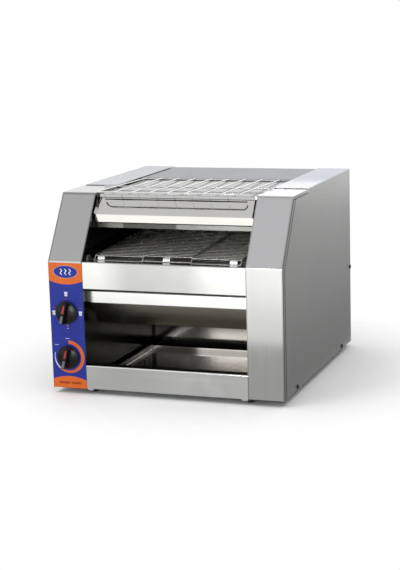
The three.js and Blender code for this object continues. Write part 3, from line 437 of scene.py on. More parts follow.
@dataclass(frozen=True)
class ColumnSteel(SheetSteel):
    """Column sheet, with painted shade along its edges, return flange and lower hem.

    A pair of lengths gives where a dark line fades out and where it is full, from the edge that it follows.
    """

    inner: float = 0.161
    outer: float = 0.230
    bottom: float = 0.010
    top: float = 0.376
    inner_line: Pair = (0.0030, 0.0010)
    outer_line: Pair = (0.0036, 0.0010)
    top_line: Pair = (0.0008, 0.0022)
    hem_line: Pair = (0.0026, 0.0012)
    crease: float = 0.0026
    crease_half: Pair = (0.0022, 0.0006)
    crease_share: float = 0.8
    hem_share: float = 0.6
    rim: float = 0.5
    side: float = 0.14
    side_start: Pair = (0.004, 0.009)

    def marked(self, graph: Graph, tone: Signal) -> Signal:
        """Painted shade: dark lines along both edges, a crease near the top and the lower hem, and a dark side below
        the top strip.

        Args:
            graph: The material's graph.
            tone: The sheet's colour so far.

        Returns:
            The colour with the marks.
        """
        x, _, z = graph.place().parts()
        # Painted shade along the edges, a crease near the top, the hem and the side.
        across = x.size()
        line = across.ramp(*(self.outer - inset for inset in self.outer_line)).most(
            across.ramp(*(self.inner + inset for inset in self.inner_line)))
        low = z.ramp(*(self.top - drop for drop in self.top_line))
        crease = z.line(self.top - self.crease, *self.crease_half)
        hem = z.ramp(*(self.bottom + rise for rise in self.hem_line))
        side = graph.mark(FLANK)
        shaded = z.ramp(*(self.top - drop for drop in self.side_start)) * (1.0 - self.side)
        dark = (line * low).most(crease * self.crease_share) * (1.0 - side) * self.rim
        return graph.shade(tone, 1.0 - dark.most(hem * self.hem_share).most(side * shaded))


@dataclass(frozen=True)
class CoverSteel(SheetSteel):
    """Side cover sheet with painted shade in the seam behind the column's return, along its hem and towards its lower
    front, a painted reflection tint on its side and a painted highlight on its top.

    The seam follows the front profile: upright up to the knee, and leaning back above it.
    """

    front: float = -0.24455
    knee: float = 0.256
    lean: float = math.atan2(0.080, 0.120)
    seam: float = 0.0180
    seam_half: Pair = (0.0034, 0.0020)
    seam_share: float = 0.72
    strip: float = 0.86
    strip_fade: float = 0.0006
    bottom: float = 0.010
    hem_line: Pair = (0.0030, 0.0014)
    hem_share: float = 0.6
    side_reflection_colour: Colour = (1.0, 0.995, 0.955)
    shine: float = 0.22
    shine_span: Pair = (0.10, -0.07)
    shade_share: float = 0.20
    shade_span: Pair = (0.42, -0.06)
    shade_tilt: float = 0.45

    def marked(self, graph: Graph, tone: Signal) -> Signal:
        """A darker strip along the front profile, and painted light and shade: a dark seam behind it, a dark hem, slow
        shading, a reflection tint on the side and a highlight on the top.

        Args:
            graph: The material's graph.
            tone: The sheet's colour so far.

        Returns:
            The colour with the marks.
        """
        _, y, z = graph.place().parts()
        back = y - self.front
        slope = back * math.cos(self.lean) - (z - self.knee) * math.sin(self.lean)
        depth = back.least(slope)
        side = graph.mark(FLANK)
        strip = depth.step(self.seam, -self.strip_fade) * (1.0 - self.strip)
        seam = depth.line(self.seam, *self.seam_half) * self.seam_share
        hem = z.ramp(*(self.bottom + rise for rise in self.hem_line)) * self.hem_share
        shade = (z + self.shade_tilt * y).ramp(*self.shade_span) * self.shade_share
        shine = graph.mark(OVER) * y.ramp(*self.shine_span) * self.shine
        # Painted reflection tint on the side, painted shade in the seam, hem and lower front, and a painted highlight
        # on the top.
        tone = graph.blend(side, tone, self.side_reflection_colour, "MULTIPLY")
        return graph.shade(tone, (1.0 - side * strip.most(seam)) * (1.0 - hem) * (1.0 - side * shade) + shine)


@dataclass(frozen=True)
class ApronSteel(SheetSteel):
    """Apron sheet with a slightly darker middle."""

    darkening: float = 0.31
    left_fade: Pair = (-0.135, -0.060)
    right_fade: Pair = (0.115, 0.035)

    def marked(self, graph: Graph, tone: Signal) -> Signal:
        """A soft darker patch round the middle.

        Args:
            graph: The material's graph.
            tone: The sheet's colour so far.

        Returns:
            The colour with the patch.
        """
        x, _, _ = graph.place().parts()
        return graph.shade(tone, 1.0 - x.ramp(*self.left_fade) * x.ramp(*self.right_fade) * self.darkening)


@dataclass(frozen=True)
class CurtainSteel(SheetSteel):
    """Sheet over the belt with heat stains, and a darker block left of its middle."""

    left: float = -0.1085
    right: float = -0.0005
    fade: float = 0.002
    dark: float = 0.62

    def marked(self, graph: Graph, tone: Signal) -> Signal:
        """A darker block with fairly sharp ends.

        Args:
            graph: The material's graph.
            tone: The sheet's colour so far.

        Returns:
            The colour with the stain.
        """
        x, _, _ = graph.place().parts()
        dark_patch = x.step(self.left, self.fade) * x.step(self.right, -self.fade)
        return graph.shade(tone, 1.0 - dark_patch * self.dark)


@dataclass(frozen=True)
class HoodSteel(SheetSteel):
    """Hood plate sheet, with a painted shade gap that widens towards its top left corner and a painted highlight for a
    thin free edge in it.
    """

    edge: float = -0.1574
    low: float = 0.3375
    high: float = 0.3740
    # Width at the top of the painted shade gap, and how softly its edge fades.
    cut: float = 0.0105
    gap_fade: float = 0.0003
    # Where the painted highlight lies in the gap, and its width.
    highlight_place: float = 0.55
    highlight_half: Pair = (0.0012, 0.0006)
    dark: float = 0.93

    def marked(self, graph: Graph, tone: Signal) -> Signal:
        """Painted shade for a gap that widens upwards, with a painted highlight for the thin edge in it.

        Args:
            graph: The material's graph.
            tone: The sheet's colour so far.

        Returns:
            The colour with the sliver.
        """
        x, _, z = graph.place().parts()
        width = (z - self.low) * (self.cut / (self.high - self.low))
        inward = x - self.edge
        # Painted shade for the gap, with a painted highlight for the thin edge in it.
        gap_shade = (width - inward).step(0.0, self.gap_fade)
        rim = inward.line(width * self.highlight_place, *self.highlight_half)
        return graph.shade(tone, 1.0 - self.dark * gap_shade * (1.0 - rim))


@dataclass(frozen=True)
class TraySteel(SheetSteel):
    """Tray sheet, with painted shade along the rear edge of its floor."""

    rear: float = 0.0655
    band: Pair = (0.030, 0.022)
    darkening: float = 0.6

    def marked(self, graph: Graph, tone: Signal) -> Signal:
        """Painted shade: a dark band on the floor before the rear wall.

        Args:
            graph: The material's graph.
            tone: The sheet's colour so far.

        Returns:
            The colour with the band.
        """
        _, y, _ = graph.place().parts()
        # Painted shade in the corner before the rear wall.
        dark = y.ramp(*(self.rear - inset for inset in self.band)) * graph.mark(OVER)
        return graph.shade(tone, 1.0 - self.darkening * dark)


@dataclass(frozen=True)
class SlideSteel(SheetSteel):
    """Slide sheet with painted shade and a painted highlight along the fold down its left border."""

    border: float = -0.160
    fold: float = 0.0022
    fold_fade: float = 0.0006
    dark: float = 0.8
    pale: float = 0.5

    def marked(self, graph: Graph, tone: Signal) -> Signal:
        """A painted shade line, and a painted highlight beside it.

        Args:
            graph: The material's graph.
            tone: The sheet's colour so far.

        Returns:
            The colour with both lines.
        """
        x, _, _ = graph.place().parts()
        inward = x - self.border
        # Painted shade and a painted highlight along the fold.
        dark = inward.step(self.fold, -self.fold_fade)
        pale = inward.line(self.fold * 1.6, self.fold * 0.6, self.fold * 0.3)
        return graph.shade(tone, (1.0 - self.dark * dark) * (1.0 + self.pale * pale))


@dataclass(frozen=True)
class Spangle(Finish):
    """Galvanised sheet with its crystal pattern."""

    CRYSTALS = 95.0
    DEPTH = 0.00001

    def looks(self, graph: Graph) -> Looks:
        """Crystals of slightly different brightness and roughness, with white bloom.

        Args:
            graph: The material's graph.

        Returns:
            The shader's inputs by name.
        """
        crystal = graph.out("ShaderNodeTexVoronoi", "Color", Vector=graph.place(), Scale=self.CRYSTALS)
        tone_share, rough_share, _ = crystal.parts()
        bloom = graph.noise(24.0, detail=4.0, spread=0.6).ramp(0.5, 0.75)
        # The rounded edges are painted lighter, a painted highlight.
        level = 0.86 + 0.28 * tone_share + 0.12 * bloom + 0.2 * graph.mark(EDGE)
        rough = self.roughness + 0.16 * (rough_share - 0.5) + 0.12 * bloom
        return dict(Base_Color=graph.shade(self.colour, level), Roughness=rough, Metallic=1.0,
                    Normal=graph.relief(tone_share, self.DEPTH))


@dataclass(frozen=True)
class Wire(Finish):
    """Drawn wire, plated or bare, with stains along it; bright gives where along y it is painted lighter, a painted
    highlight, and faces marked as undersides get painted shade.
    """

    DEPTH = 0.00001
    PAINTED_LIGHT_COLOUR = (0.66, 0.655, 0.63)

    dark_patch: float = 0.25
    stain_colour: Colour = (0.35, 0.27, 0.19)
    underside_shade_colour: Colour = (0.02, 0.02, 0.02)
    bright: Pair = (-1.0, -2.0)

    def looks(self, graph: Graph) -> Looks:
        """Stains in colour and roughness, fine drawing marks, a painted highlight towards the front and painted shade
        underneath.

        Args:
            graph: The material's graph.

        Returns:
            The shader's inputs by name.
        """
        dark_patch = graph.noise(38.0, detail=4.0, spread=0.6).ramp(0.42, 0.75) * self.dark_patch
        scratch = graph.noise(420.0, detail=2.0)
        tone = graph.blend(dark_patch, graph.shade(self.colour, 0.93 + 0.14 * scratch), self.stain_colour)
        _, y, _ = graph.place().parts()
        # Painted highlight on the wires nearest the front.
        tone = graph.blend(y.ramp(*self.bright), tone, self.PAINTED_LIGHT_COLOUR)
        # Painted shade on faces marked as undersides.
        tone = graph.blend(graph.mark(UNDER), tone, self.underside_shade_colour)
        rough = self.roughness + 0.35 * dark_patch + 0.06 * (scratch - 0.5)
        return dict(Base_Color=tone, Roughness=rough, Metallic=1.0,
                    Normal=graph.relief(scratch, self.DEPTH))


@dataclass(frozen=True)
class Sheath(Finish):
    """A heater's sheath: oxidised, mottled, darker where it runs hottest."""

    DEPTH = 0.00006

    mottle_colour: Colour = (0.20, 0.13, 0.09)
    mottle_scale: Triple = (60.0, 240.0, 240.0)
    hot_span: Pair = (0.02, 0.15)

    def looks(self, graph: Graph) -> Looks:
        """Oxide mottling in colour and roughness.

        Args:
            graph: The material's graph.

        Returns:
            The shader's inputs by name.
        """
        mottle = graph.noise(self.mottle_scale, detail=5.0, spread=0.65)
        x, _, _ = graph.place().parts()
        cooler = x.size().ramp(*self.hot_span)
        tone = graph.blend(mottle.ramp(0.35, 0.7), self.colour, self.mottle_colour)
        tone = graph.shade(tone, (0.75 + 0.5 * mottle) * (0.7 + 0.3 * cooler))
        return dict(Base_Color=tone, Metallic=0.75, Roughness=self.roughness + 0.3 * (mottle - 0.5),
                    Normal=graph.relief(mottle, self.DEPTH))


@dataclass(frozen=True)
class Moulded(Finish):
    """Moulded plastic, paint or rubber: a fine texture, dust in the hollows and rubbed edges."""

    LEAST_ROUGH = 0.04

    texture: float = 900.0
    depth: float = 0.00004
    dust: float = 0.10
    dust_colour: Colour = (0.30, 0.29, 0.27)
    gloss: float = 0.5

    def looks(self, graph: Graph) -> Looks:
        """Texture as bump, dust in colour and roughness, and edges rubbed smoother.

        Args:
            graph: The material's graph.

        Returns:
            The shader's inputs by name.
        """
        grain = graph.noise(self.texture, detail=2.0)
        dust = graph.noise(45.0, detail=4.0, spread=0.6).ramp(0.45, 0.8) * self.dust
        edge = graph.mark(EDGE)
        tone = graph.blend(dust, graph.shade(self.colour, 0.85 + 0.3 * grain + 0.5 * edge), self.dust_colour)
        rough = self.roughness + 0.12 * (grain - 0.5) + 0.6 * dust - 0.08 * edge
        return dict(Base_Color=tone, Roughness=rough.most(self.LEAST_ROUGH), Specular_IOR_Level=self.gloss,
                    Normal=graph.relief(grain, self.depth))


Bar = tuple[float, float, float, float]
Spot = tuple[Signal, Signal]


@dataclass(frozen=True)
class ControlPrint(Finish):
    """The printed strip round the knobs.

    Its masks are drawn in millimetres from the strip's left edge and the casing's bottom edge. A bar is given by
    its centre, width and height.
    """

    FOOTER_BARS = ((23.0, 11.0, 22.0, 4.4), (48.0, 11.0, 20.0, 4.4))
    CAPTION_BARS = ((34.0, 174.6, 7.0, 0.8), (7.6, 156.6, 6.4, 0.8), (62.5, 156.8, 7.0, 0.8), (62.5, 138.9, 7.0, 0.8))
    TINY_BARS = ((35.0, 117.3, 4.0, 1.0), (33.0, 97.5, 8.0, 1.0), (10.5, 84.5, 8.0, 1.0))
    RED_BARS = ((35.0, 122.5, 3.2, 3.0),)
    DEPTH = 0.00001
    GLOSS = 0.2

    field: Colour = (0.017, 0.032, 0.29)
    accent: Colour = (0.70, 0.135, 0.018)
    pale: Colour = (0.80, 0.82, 0.86)
    ink: Colour = (0.22, 0.035, 0.008)
    rim_colour: Colour = (0.52, 0.30, 0.34)
    caption_colour: Colour = (0.40, 0.06, 0.12)
    red: Colour = (0.62, 0.13, 0.12)
    border_colour: Colour = (0.02, 0.015, 0.02)
    left: float = 0.0
    bottom: float = 0.0
    middle: float = 34.5
    header_edge: float = 202.0
    footer_edge: float = 24.0
    edge_fade: float = 0.3
    arch: float = 7.0
    badge: Pair = (35.0, 226.0)
    badge_half: Pair = (24.0, 11.5)
    badge_rim: float = 1.0
    wave_pitch: float = 9.0
    wave_turn: float = 0.75
    wave_sway: float = 1.5
    selector: float = 148.0
    speed: float = 61.5
    arc_radius: float = 28.9
    arc_half: Pair = (3.4, 0.45)
    arc_fade: float = 0.18

    def looks(self, graph: Graph) -> Looks:
        """Colour fields, badge, pictograms and the speed arc, printed a little unevenly.

        Args:
            graph: The material's graph.

        Returns:
            The shader's inputs by name.
        """
        x, _, z = graph.place().parts()
        spot = u, v = (x - self.left) * MILLIMETRES, (z - self.bottom) * MILLIMETRES
        aside = (u - self.middle) / self.middle
        bow = aside * aside * self.arch
        header = (v - bow).step(self.header_edge, self.edge_fade)
        footer = (v + bow).step(self.footer_edge, -self.edge_fade)
        arc, late = self.arc(spot)
        border = u.ramp(1.1, 0.4).most(v.ramp(1.3, 0.5))
        tone = graph.blend(header.most(footer), self.field, self.accent)
        for mask, colour in (
                (self.ellipse(spot, self.badge_rim), self.rim_colour), (self.ellipse(spot), self.field),
                (self.waves(spot), self.pale), (self.bars(spot, self.FOOTER_BARS, 0.8) * 0.75, self.ink),
                (self.icons(spot), self.pale), (self.bars(spot, self.CAPTION_BARS) * 0.7, self.caption_colour),
                (self.bars(spot, self.RED_BARS), self.red), (arc, graph.blend(late, self.accent, self.pale)),
                (border * 0.8, self.border_colour)):
            tone = graph.blend(mask, tone, colour)
        uneven = graph.noise(160.0, detail=3.0)
        grain = graph.noise(1500.0, detail=1.0)
        return dict(Base_Color=graph.shade(tone, 0.92 + 0.16 * uneven), Specular_IOR_Level=self.GLOSS,
                    Roughness=self.roughness + 0.2 * (uneven - 0.5), Normal=graph.relief(grain, self.DEPTH))

    def ellipse(self, spot: Spot, wider: float = 0.0) -> Signal:
        """The badge's ellipse as a mask, made wider all round by a length."""
        a, b = ((way - middle) / (half + wider) for way, middle, half in zip(spot, self.badge, self.badge_half))
        return (a * a + b * b).ramp(1.04, 0.96)

    def bars(self, spot: Spot, places: Sequence[Bar], fade: float = 0.12) -> Signal:
        """Filled rectangles.

        Args:
            spot: The place on the strip.
            places: The rectangles.
            fade: Half the width of their soft edges.

        Returns:
            All of them as one mask.
        """
        u, v = spot
        return reduce(Signal.most, (u.line(middle, wide / 2 + fade, wide / 2 - fade)
                                    * v.line(level, high / 2 + fade, high / 2 - fade)
                                    for middle, level, wide, high in places))

    def waves(self, spot: Spot) -> Signal:
        """Three rising heat lines in the badge.

        Args:
            spot: The place on the strip.

        Returns:
            The lines as one mask.
        """
        u, v = spot
        middle, level = self.badge
        sway = v.graph.out("ShaderNodeMath", 0, {"operation": "SINE"}, Value=(v - level) * self.wave_turn)
        high = v.line(level, 6.2, 5.4)
        return reduce(Signal.most, ((u - (middle + offset) - sway * self.wave_sway).size().ramp(1.25, 0.85) * high
                                    for offset in (-self.wave_pitch, 0.0, self.wave_pitch)))

    def icons(self, spot: Spot) -> Signal:
        """Slices of bread round the selector, and tiny caption bars.

        Args:
            spot: The place on the strip.

        Returns:
            All of them as one mask.
        """
        slices = ((34.0, self.selector + 35.5), (7.6, self.selector - 1.5), (62.5, self.selector - 1.0))
        loaves = [bar for middle, level in slices
                  for bar in ((middle, level - 1.2, 5.4, 6.0), (middle, level + 2.4, 6.6, 3.4))]
        body = self.bars(spot, loaves, 0.5) * 0.85
        crumb = self.bars(spot, [(middle, level - 0.8, 2.6, 0.8) for middle, level in slices])
        return (body - crumb * 0.7).most(self.bars(spot, self.TINY_BARS) * 0.75)

    def arc(self, spot: Spot) -> tuple[Signal, Signal]:
        """The speed arc, which thins clockwise from the top.

        Args:
            spot: The place on the strip.

        Returns:
            The arc as a mask, and how pale it is along its way.
        """
        across, up = spot[0] - self.middle, spot[1] - self.speed
        graph = across.graph
        radius = (across * across + up * up) ** 0.5
        angle = graph.out("ShaderNodeMath", 0, {"operation": "ARCTAN2"}, Value=-across)
        graph.feed(angle.socket.node.inputs[1], -up)
        turn = angle * (1.0 / (2.0 * math.pi)) + 0.5
        half = turn.ramp(0.30, 0.80, *self.arc_half)
        ring = ((radius - self.arc_radius).size() - half).step(0.0, -self.arc_fade)
        span = turn.ramp(0.0, 0.004) * turn.ramp(0.80, 0.79)
        return ring * span, turn.ramp(0.58, 0.66)


# Finishes that several pieces share. Inner sheets are painted dark, as painted shade inside the toasting space, and
# they have their own heat stains.

# The left column is painted darker than the right one, as painted shade; the right column's tops are painted lighter,
# a painted highlight, and both columns' sides are painted darker as painted shade.
LEFT_STEEL = ColumnSteel("left column steel", (0.63, 0.63, 0.64), 0.20, Grain.ACROSS_X, streak=0.05, cloud=0.05,
                         depth=0.000006, edge_gain=-0.35, over=0.98, flank=0.45)
RIGHT_STEEL = ColumnSteel("right column steel", (0.77, 0.77, 0.785), 0.11, Grain.ACROSS_X, streak=0.04, cloud=0.04,
                          depth=0.000005, smudge=0.03, edge_gain=-0.35, over=1.2, flank=0.50, rim=0.25)
# The cover's side is painted darker and warmer than its top, as painted shade and a painted reflection tint, and its
# top flange carries a painted highlight; the left cover is painted darker, with less highlight.
COVER_STEEL = CoverSteel("side cover steel", (0.56, 0.595, 0.66), 0.28, Grain.ALONG_Z, streak=0.03, cloud=0.12,
                         smudge=0.02, edge_gain=-0.2, flank=0.69, depth=0.000006, side_reflection_colour=(1.03, 0.98, 0.86),
                         shine=1.1)
LEFT_COVER_STEEL = replace(COVER_STEEL, name="left side cover steel", colour=(0.52, 0.545, 0.59), shine=0.12)
TOP_STEEL = SheetSteel("top steel", (0.44, 0.455, 0.49), 0.24, streak=0.05, smudge=0.03, grazing=0.68)
# The shelf's top is painted darker, as painted shade under the rack.
SHELF_STEEL = SheetSteel("shelf steel", (0.90, 0.90, 0.90), 0.10, streak=0.06, smudge=0.03, edge_gain=-0.3, over=0.28)
FRONT_STEEL = ApronSteel("apron steel", (0.86, 0.86, 0.86), 0.18, streak=0.03, cloud=0.06, depth=0.00001)
TRAY_FRONT_STEEL = SheetSteel("tray front steel", (0.92, 0.92, 0.93), 0.20, streak=0.04, cloud=0.06, smudge=0.04,
                              depth=0.00001)
# Its downward faces carry a painted reflection of the dark tray below.
DEFLECTOR_STEEL = SheetSteel("deflector steel", (0.94, 0.94, 0.94), 0.20, streak=0.04, heat=0.04, smudge=0.02,
                             underside_shade_colour=(0.27, 0.26, 0.21))
SLIDE_STEEL = SlideSteel("slide steel", (0.86, 0.84, 0.80), 0.12, Grain.ALONG_Z, streak=0.06, heat=0.12, smudge=0.05)
# The tray's side walls are painted dark, as painted shade.
TRAY_STEEL = TraySteel("tray steel", (0.93, 0.91, 0.87), 0.09, streak=0.05, smudge=0.05, heat=0.1, flank=0.10)
HOOD_STEEL = HoodSteel("hood steel", (0.87, 0.86, 0.825), 0.05, streak=0.04, smudge=0.03, edge_gain=-0.2)
CURTAIN_STEEL = CurtainSteel("curtain steel", (0.22, 0.22, 0.208), 0.30, heat=0.3, smudge=0.2,
                             heat_colour=(0.62, 0.61, 0.58))
BAKED_STEEL = SheetSteel("heat tinted steel", (0.30, 0.29, 0.27), 0.30, heat=0.5, smudge=0.2,
                         heat_colour=(0.42, 0.40, 0.36))
WALL_STEEL = SheetSteel("inner wall steel", (0.036, 0.036, 0.032), 0.16, Grain.ALONG_Z, streak=0.06, heat=0.4,
                        grazing=0.62, smudge=0.06, heat_colour=(0.55, 0.53, 0.50))
GALVANISED = Spangle("galvanised steel", (0.52, 0.54, 0.55), 0.42)
BELT_WIRE = Wire("belt wire", (0.47, 0.47, 0.445), 0.26, dark_patch=0.35, bright=(-0.195, -0.212))
RACK_WIRE = Wire("rack wire", (0.99, 0.99, 0.99), 0.18, dark_patch=0.03)
RAIL_STEEL = Wire("belt rail steel", (0.30, 0.29, 0.27), 0.34, dark_patch=0.5)
SHAFT_STEEL = Wire("shaft steel", (0.10, 0.095, 0.09), 0.30, dark_patch=0.4, stain_colour=(0.05, 0.04, 0.03))
WHEEL_STEEL = Wire("sprocket steel", (0.88, 0.88, 0.87), 0.28, dark_patch=0.08)
CHAIN_STEEL = Wire("chain steel", (0.34, 0.33, 0.31), 0.35, dark_patch=0.5)
SHEATH = Sheath("heater sheath", (0.13, 0.12, 0.115), 0.5)
MOTOR_PAINT = Moulded("motor paint", (0.16, 0.17, 0.18), 0.45, texture=500.0, dust=0.2)
BLACK_GLOSS = Moulded("black knob", (0.004, 0.004, 0.005), 0.26, texture=260.0, depth=0.000003, dust=0.02,
                      gloss=0.34)
# The grip's lower end is painted pale grey, a painted highlight.
GRIP_HIGHLIGHT_PAINT = Moulded("painted grip highlight", (0.13, 0.13, 0.135), 0.30, texture=300.0, depth=0.000004, dust=0.04)
RED_INSERT = Moulded("red insert", (0.42, 0.013, 0.014), 0.34, texture=300.0, depth=0.000004, dust=0.04)
BLACK_PLAIN = Moulded("black moulding", (0.018, 0.018, 0.019), 0.42, dust=0.15)
BLACK_SCREW = Moulded("blackened screw", (0.012, 0.012, 0.012), 0.35, dust=0.12)
RUBBER = Moulded("foot rubber", (0.022, 0.022, 0.023), 0.78, texture=700.0, dust=0.25)


# Mesh building.

# How strongly large faces set the shading of the edges between faces.
EVEN_WEIGHT = 60
# How much further each fastener of a row is turned, in radians.
SPIN = 1.7
# Which faces carry which attribute.
FACINGS: dict[str, Callable[[Vector], bool]] = {
    UNDER: lambda normal: normal.z < -0.2,
    FLANK: lambda normal: abs(normal.x) > 0.8,
    OVER: lambda normal: normal.z > 0.8,
}


def linked(name: str, data: bpy.types.ID) -> Object:
    """Adds an object to the scene.

    Args:
        name: The object's name.
        data: Its mesh, light or camera.

    Returns:
        The new object.
    """
    made = bpy.data.objects.new(name, data)
    bpy.context.scene.collection.objects.link(made)
    return made


def as_mesh(bm: BMesh, name: str) -> Mesh:
    """Turns a finished bmesh into a smooth mesh, and frees it.

    Args:
        bm: The bmesh.
        name: The mesh's name.

    Returns:
        The mesh.
    """
    for face in bm.faces:
        face.smooth = True
    data = bpy.data.meshes.new(name)
    bm.to_mesh(data)
    bm.free()
    return data


def placed(data: Mesh, name: str, body: str, finish: Finish,
           nodes: Sequence[str] = ()) -> None:
    """Makes a mesh a piece of the object, with even shading across its large faces.

    Args:
        data: The mesh, in the frame's coordinates.
        name: The piece's name.
        body: The CAD body that it rides on.
        finish: Its finish.
        nodes: CAD nodes that it stands for.
    """
    made = linked(name, data)
    data.materials.clear()
    data.materials.append(finish.material())
    even = made.modifiers.new("even shading", "WEIGHTED_NORMAL")
    even.mode = "FACE_AREA"
    even.weight = EVEN_WEIGHT
    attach(made, body)
    if nodes:
        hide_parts(*nodes)
    log.info("%s rides on %s", name, body)


def piece(bm: BMesh, name: str, body: str, finish: Finish,
          nodes: Sequence[str] = ()) -> None:
    """Turns a finished bmesh into a piece of the object; the rest is as placed has it."""
    placed(as_mesh(bm, name), name, body, finish, nodes)


def attribute(bm: BMesh, name: str) -> bmesh.types.BMLayerItem:
    """A number on each face, found or made."""
    return bm.faces.layers.float.get(name) or bm.faces.layers.float.new(name)


def round_edges(bm: BMesh, width: float) -> None:
    """Rounds every sharp edge and marks the new faces.

    Args:
        bm: The mesh.
        width: How far from the edge its rounding starts.
    """
    layer = attribute(bm, EDGE)
    sharp = [e for e in bm.edges if len(e.link_faces) == 2 and e.calc_face_angle(0.0) > SHARP]
    made = bmesh.ops.bevel(bm, geom=sharp, offset=width, segments=2, profile=0.5, affect="EDGES",
                           clamp_overlap=True)
    for face in made["faces"]:
        face[layer] = 1.0


def refined(node: str, finish: Finish, bevel: float, body: str = "chassis",
            reshape: Callable[[BMesh], None] | None = None) -> None:
    """A CAD node's shape with merged faces, smooth bends and fine rounded edges, standing for the node.

    Args:
        node: The CAD node.
        finish: The piece's finish.
        bevel: The width of the rounded edges.
        body: The body that the node belongs to.
        reshape: A change made to the mesh first.
    """
    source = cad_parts[node]
    bm = bmesh.new()
    bm.from_mesh(source.data)
    bm.transform(source.matrix_world)
    if reshape:
        reshape(bm)
    bmesh.ops.remove_doubles(bm, verts=bm.verts, dist=MERGE)
    bmesh.ops.dissolve_limit(bm, angle_limit=FLAT, verts=bm.verts[:], edges=bm.edges[:])
    bmesh.ops.recalc_face_normals(bm, faces=bm.faces[:])
    round_edges(bm, bevel)
    for name, test in FACINGS.items():
        layer = attribute(bm, name)
        for face in bm.faces:
            face[layer] = float(test(face.normal))
    piece(bm, f"{node}_shape", body, finish, (node,))


def skinned(bm: BMesh, rings: Sequence[Sequence[bmesh.types.BMVert]]) -> list[bmesh.types.BMFace]:
    """Joins rings of points by faces, each ring to the next.

    Args:
        bm: The mesh.
        rings: The rings, all with as many points, apart from those of one point that close an end.

    Returns:
        The new faces.
    """
    count = max(len(ring) for ring in rings)
    faces = []
    for first, second in zip(rings, rings[1:]):
        for k in range(count):
            n = (k + 1) % count
            corners = dict.fromkeys((first[k % len(first)], first[n % len(first)], second[n % len(second)],
                                     second[k % len(second)]))
            if len(corners) > 2:
                faces.append(bm.faces.new(list(corners)))
    return faces


def lathe(bm: BMesh, start: Vector, axis: Vector, profile: Sequence[Pair], sides: int) -> None:
    """Adds a turned shape to a bmesh.

    Args:
        bm: The mesh.
        start: The axis's origin.
        axis: The axis's direction, a unit vector.
        profile: (radius, place along the axis) from one end to the other; ends with radius 0 are closed.
        sides: The number of faces round it.
    """
    side = axis.cross(UPWARD if abs(axis.z) < 0.9 else REARWARD).normalized()
    other = axis.cross(side).normalized()
    turns = [2 * math.pi * k / sides for k in range(sides)]
    rings = []
    for radius, along in profile:
        middle = start + axis * along
        rings.append([bm.verts.new(middle + side * (radius * math.cos(t)) + other * (radius * math.sin(t)))
                      for t in (turns if radius > 0 else turns[:1])])
    skinned(bm, rings)
    bmesh.ops.remove_doubles(bm, verts=bm.verts, dist=MERGE)
    bmesh.ops.recalc_face_normals(bm, faces=bm.faces[:])


def turned(name: str, node: str, finish: Finish, start: Vector, axis: Vector,
           profile: Sequence[Pair], sides: int, body: str = "chassis") -> None:
    """A turned piece that stands for a CAD node.

    Args:
        name: The piece's name.
        node: The CAD node.
        finish: Its finish.
        start: The axis's origin.
        axis: The axis's direction, a unit vector.
        profile: (radius, place along the axis) from one end to the other.
        sides: The number of faces round it.
        body: The body that it rides on.
    """
    bm = bmesh.new()
    lathe(bm, start, axis, profile, sides)
    piece(bm, name, body, finish, (node,))


def prism(bm: BMesh, outline: Path, travel: Vector, taper: float = 1.0) -> None:
    """Adds a prism to a bmesh: an outline, and the same outline moved and scaled about its middle.

    Args:
        bm: The mesh.
        outline: The corners of one end.
        travel: The way to the other end.
        taper: The other end's size next to this one's.
    """
    middle = sum(outline, Vector()) / len(outline)
    low = [bm.verts.new(p) for p in outline]
    high = [bm.verts.new(middle + (p - middle) * taper + travel) for p in outline]
    faces = [bm.faces.new(low), bm.faces.new(high), *skinned(bm, [low, high])]
    bmesh.ops.recalc_face_normals(bm, faces=faces)


def centre_of(node: str) -> Vector:
    """The middle of a CAD node's box."""
    low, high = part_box(node)
    return (low + high) / 2


def at_x(x: float, point: Vector) -> Vector:
    """A point moved to another x."""
    return Vector((x, point.y, point.z))


# Geometry Nodes: wires swept along paths, and fasteners set on places.


def opened_group(name: str, inputs: dict[str, str], result: str) -> tuple[Graph, dict[str, Signal]]:
    """Starts a Geometry Nodes group.

    Args:
        name: The group's name.
        inputs: The kind of each input by its name.
        result: The name of its output.

    Returns:
        The group's graph, and its inputs by name.
    """
    group = bpy.data.node_groups.new(name, "GeometryNodeTree")
    for label, kind in inputs.items():
        group.interface.new_socket(label, in_out="INPUT", socket_type=f"NodeSocket{kind}")
    group.interface.new_socket(result, in_out="OUTPUT", socket_type="NodeSocketGeometry")
    graph = Graph(group)
    given = graph.node("NodeGroupInput")
    return graph, {s.name: Signal(graph, s) for s in given.outputs if s.name}


def closed_group(graph: Graph, shape: Signal, finish: Signal, result: str) -> bpy.types.NodeTree:
    """Ends a Geometry Nodes group: smooth, real and in its finish.

    Args:
        graph: The group's graph.
        shape: The geometry.
        finish: Its material.
        result: The name of the group's output.

    Returns:
        The group.
    """
    smooth = graph.out("GeometryNodeSetShadeSmooth", Geometry=shape, Shade_Smooth=True)
    real = graph.out("GeometryNodeRealizeInstances", Geometry=smooth)
    dressed = graph.out("GeometryNodeSetMaterial", Geometry=real, Material=finish)
    graph.node("NodeGroupOutput", **{result: dressed})
    return graph.tree


def evaluated(data: Mesh, name: str, group: bpy.types.NodeTree, values: dict) -> Mesh:
    """Runs a Geometry Nodes group on a mesh, and removes the group.

    Args:
        data: The mesh that goes in.
        name: The name of the mesh that comes out.
        group: The group.
        values: The group's inputs by name.

    Returns:
        The result as a plain mesh.
    """
    carrier = linked(f"{name} carrier", data)
    modifier = carrier.modifiers.new("nodes", "NODES")
    modifier.node_group = group
    for item in group.interface.items_tree:
        if item.item_type == "SOCKET" and item.in_out == "INPUT" and item.name in values:
            modifier[item.identifier] = values[item.name]
    carrier.update_tag()
    graph = bpy.context.evaluated_depsgraph_get()
    result = bpy.data.meshes.new_from_object(carrier.evaluated_get(graph), depsgraph=graph)
    result.name = name
    carrier.modifiers.remove(modifier)
    bpy.data.objects.remove(carrier)
    bpy.data.node_groups.remove(group)
    return result


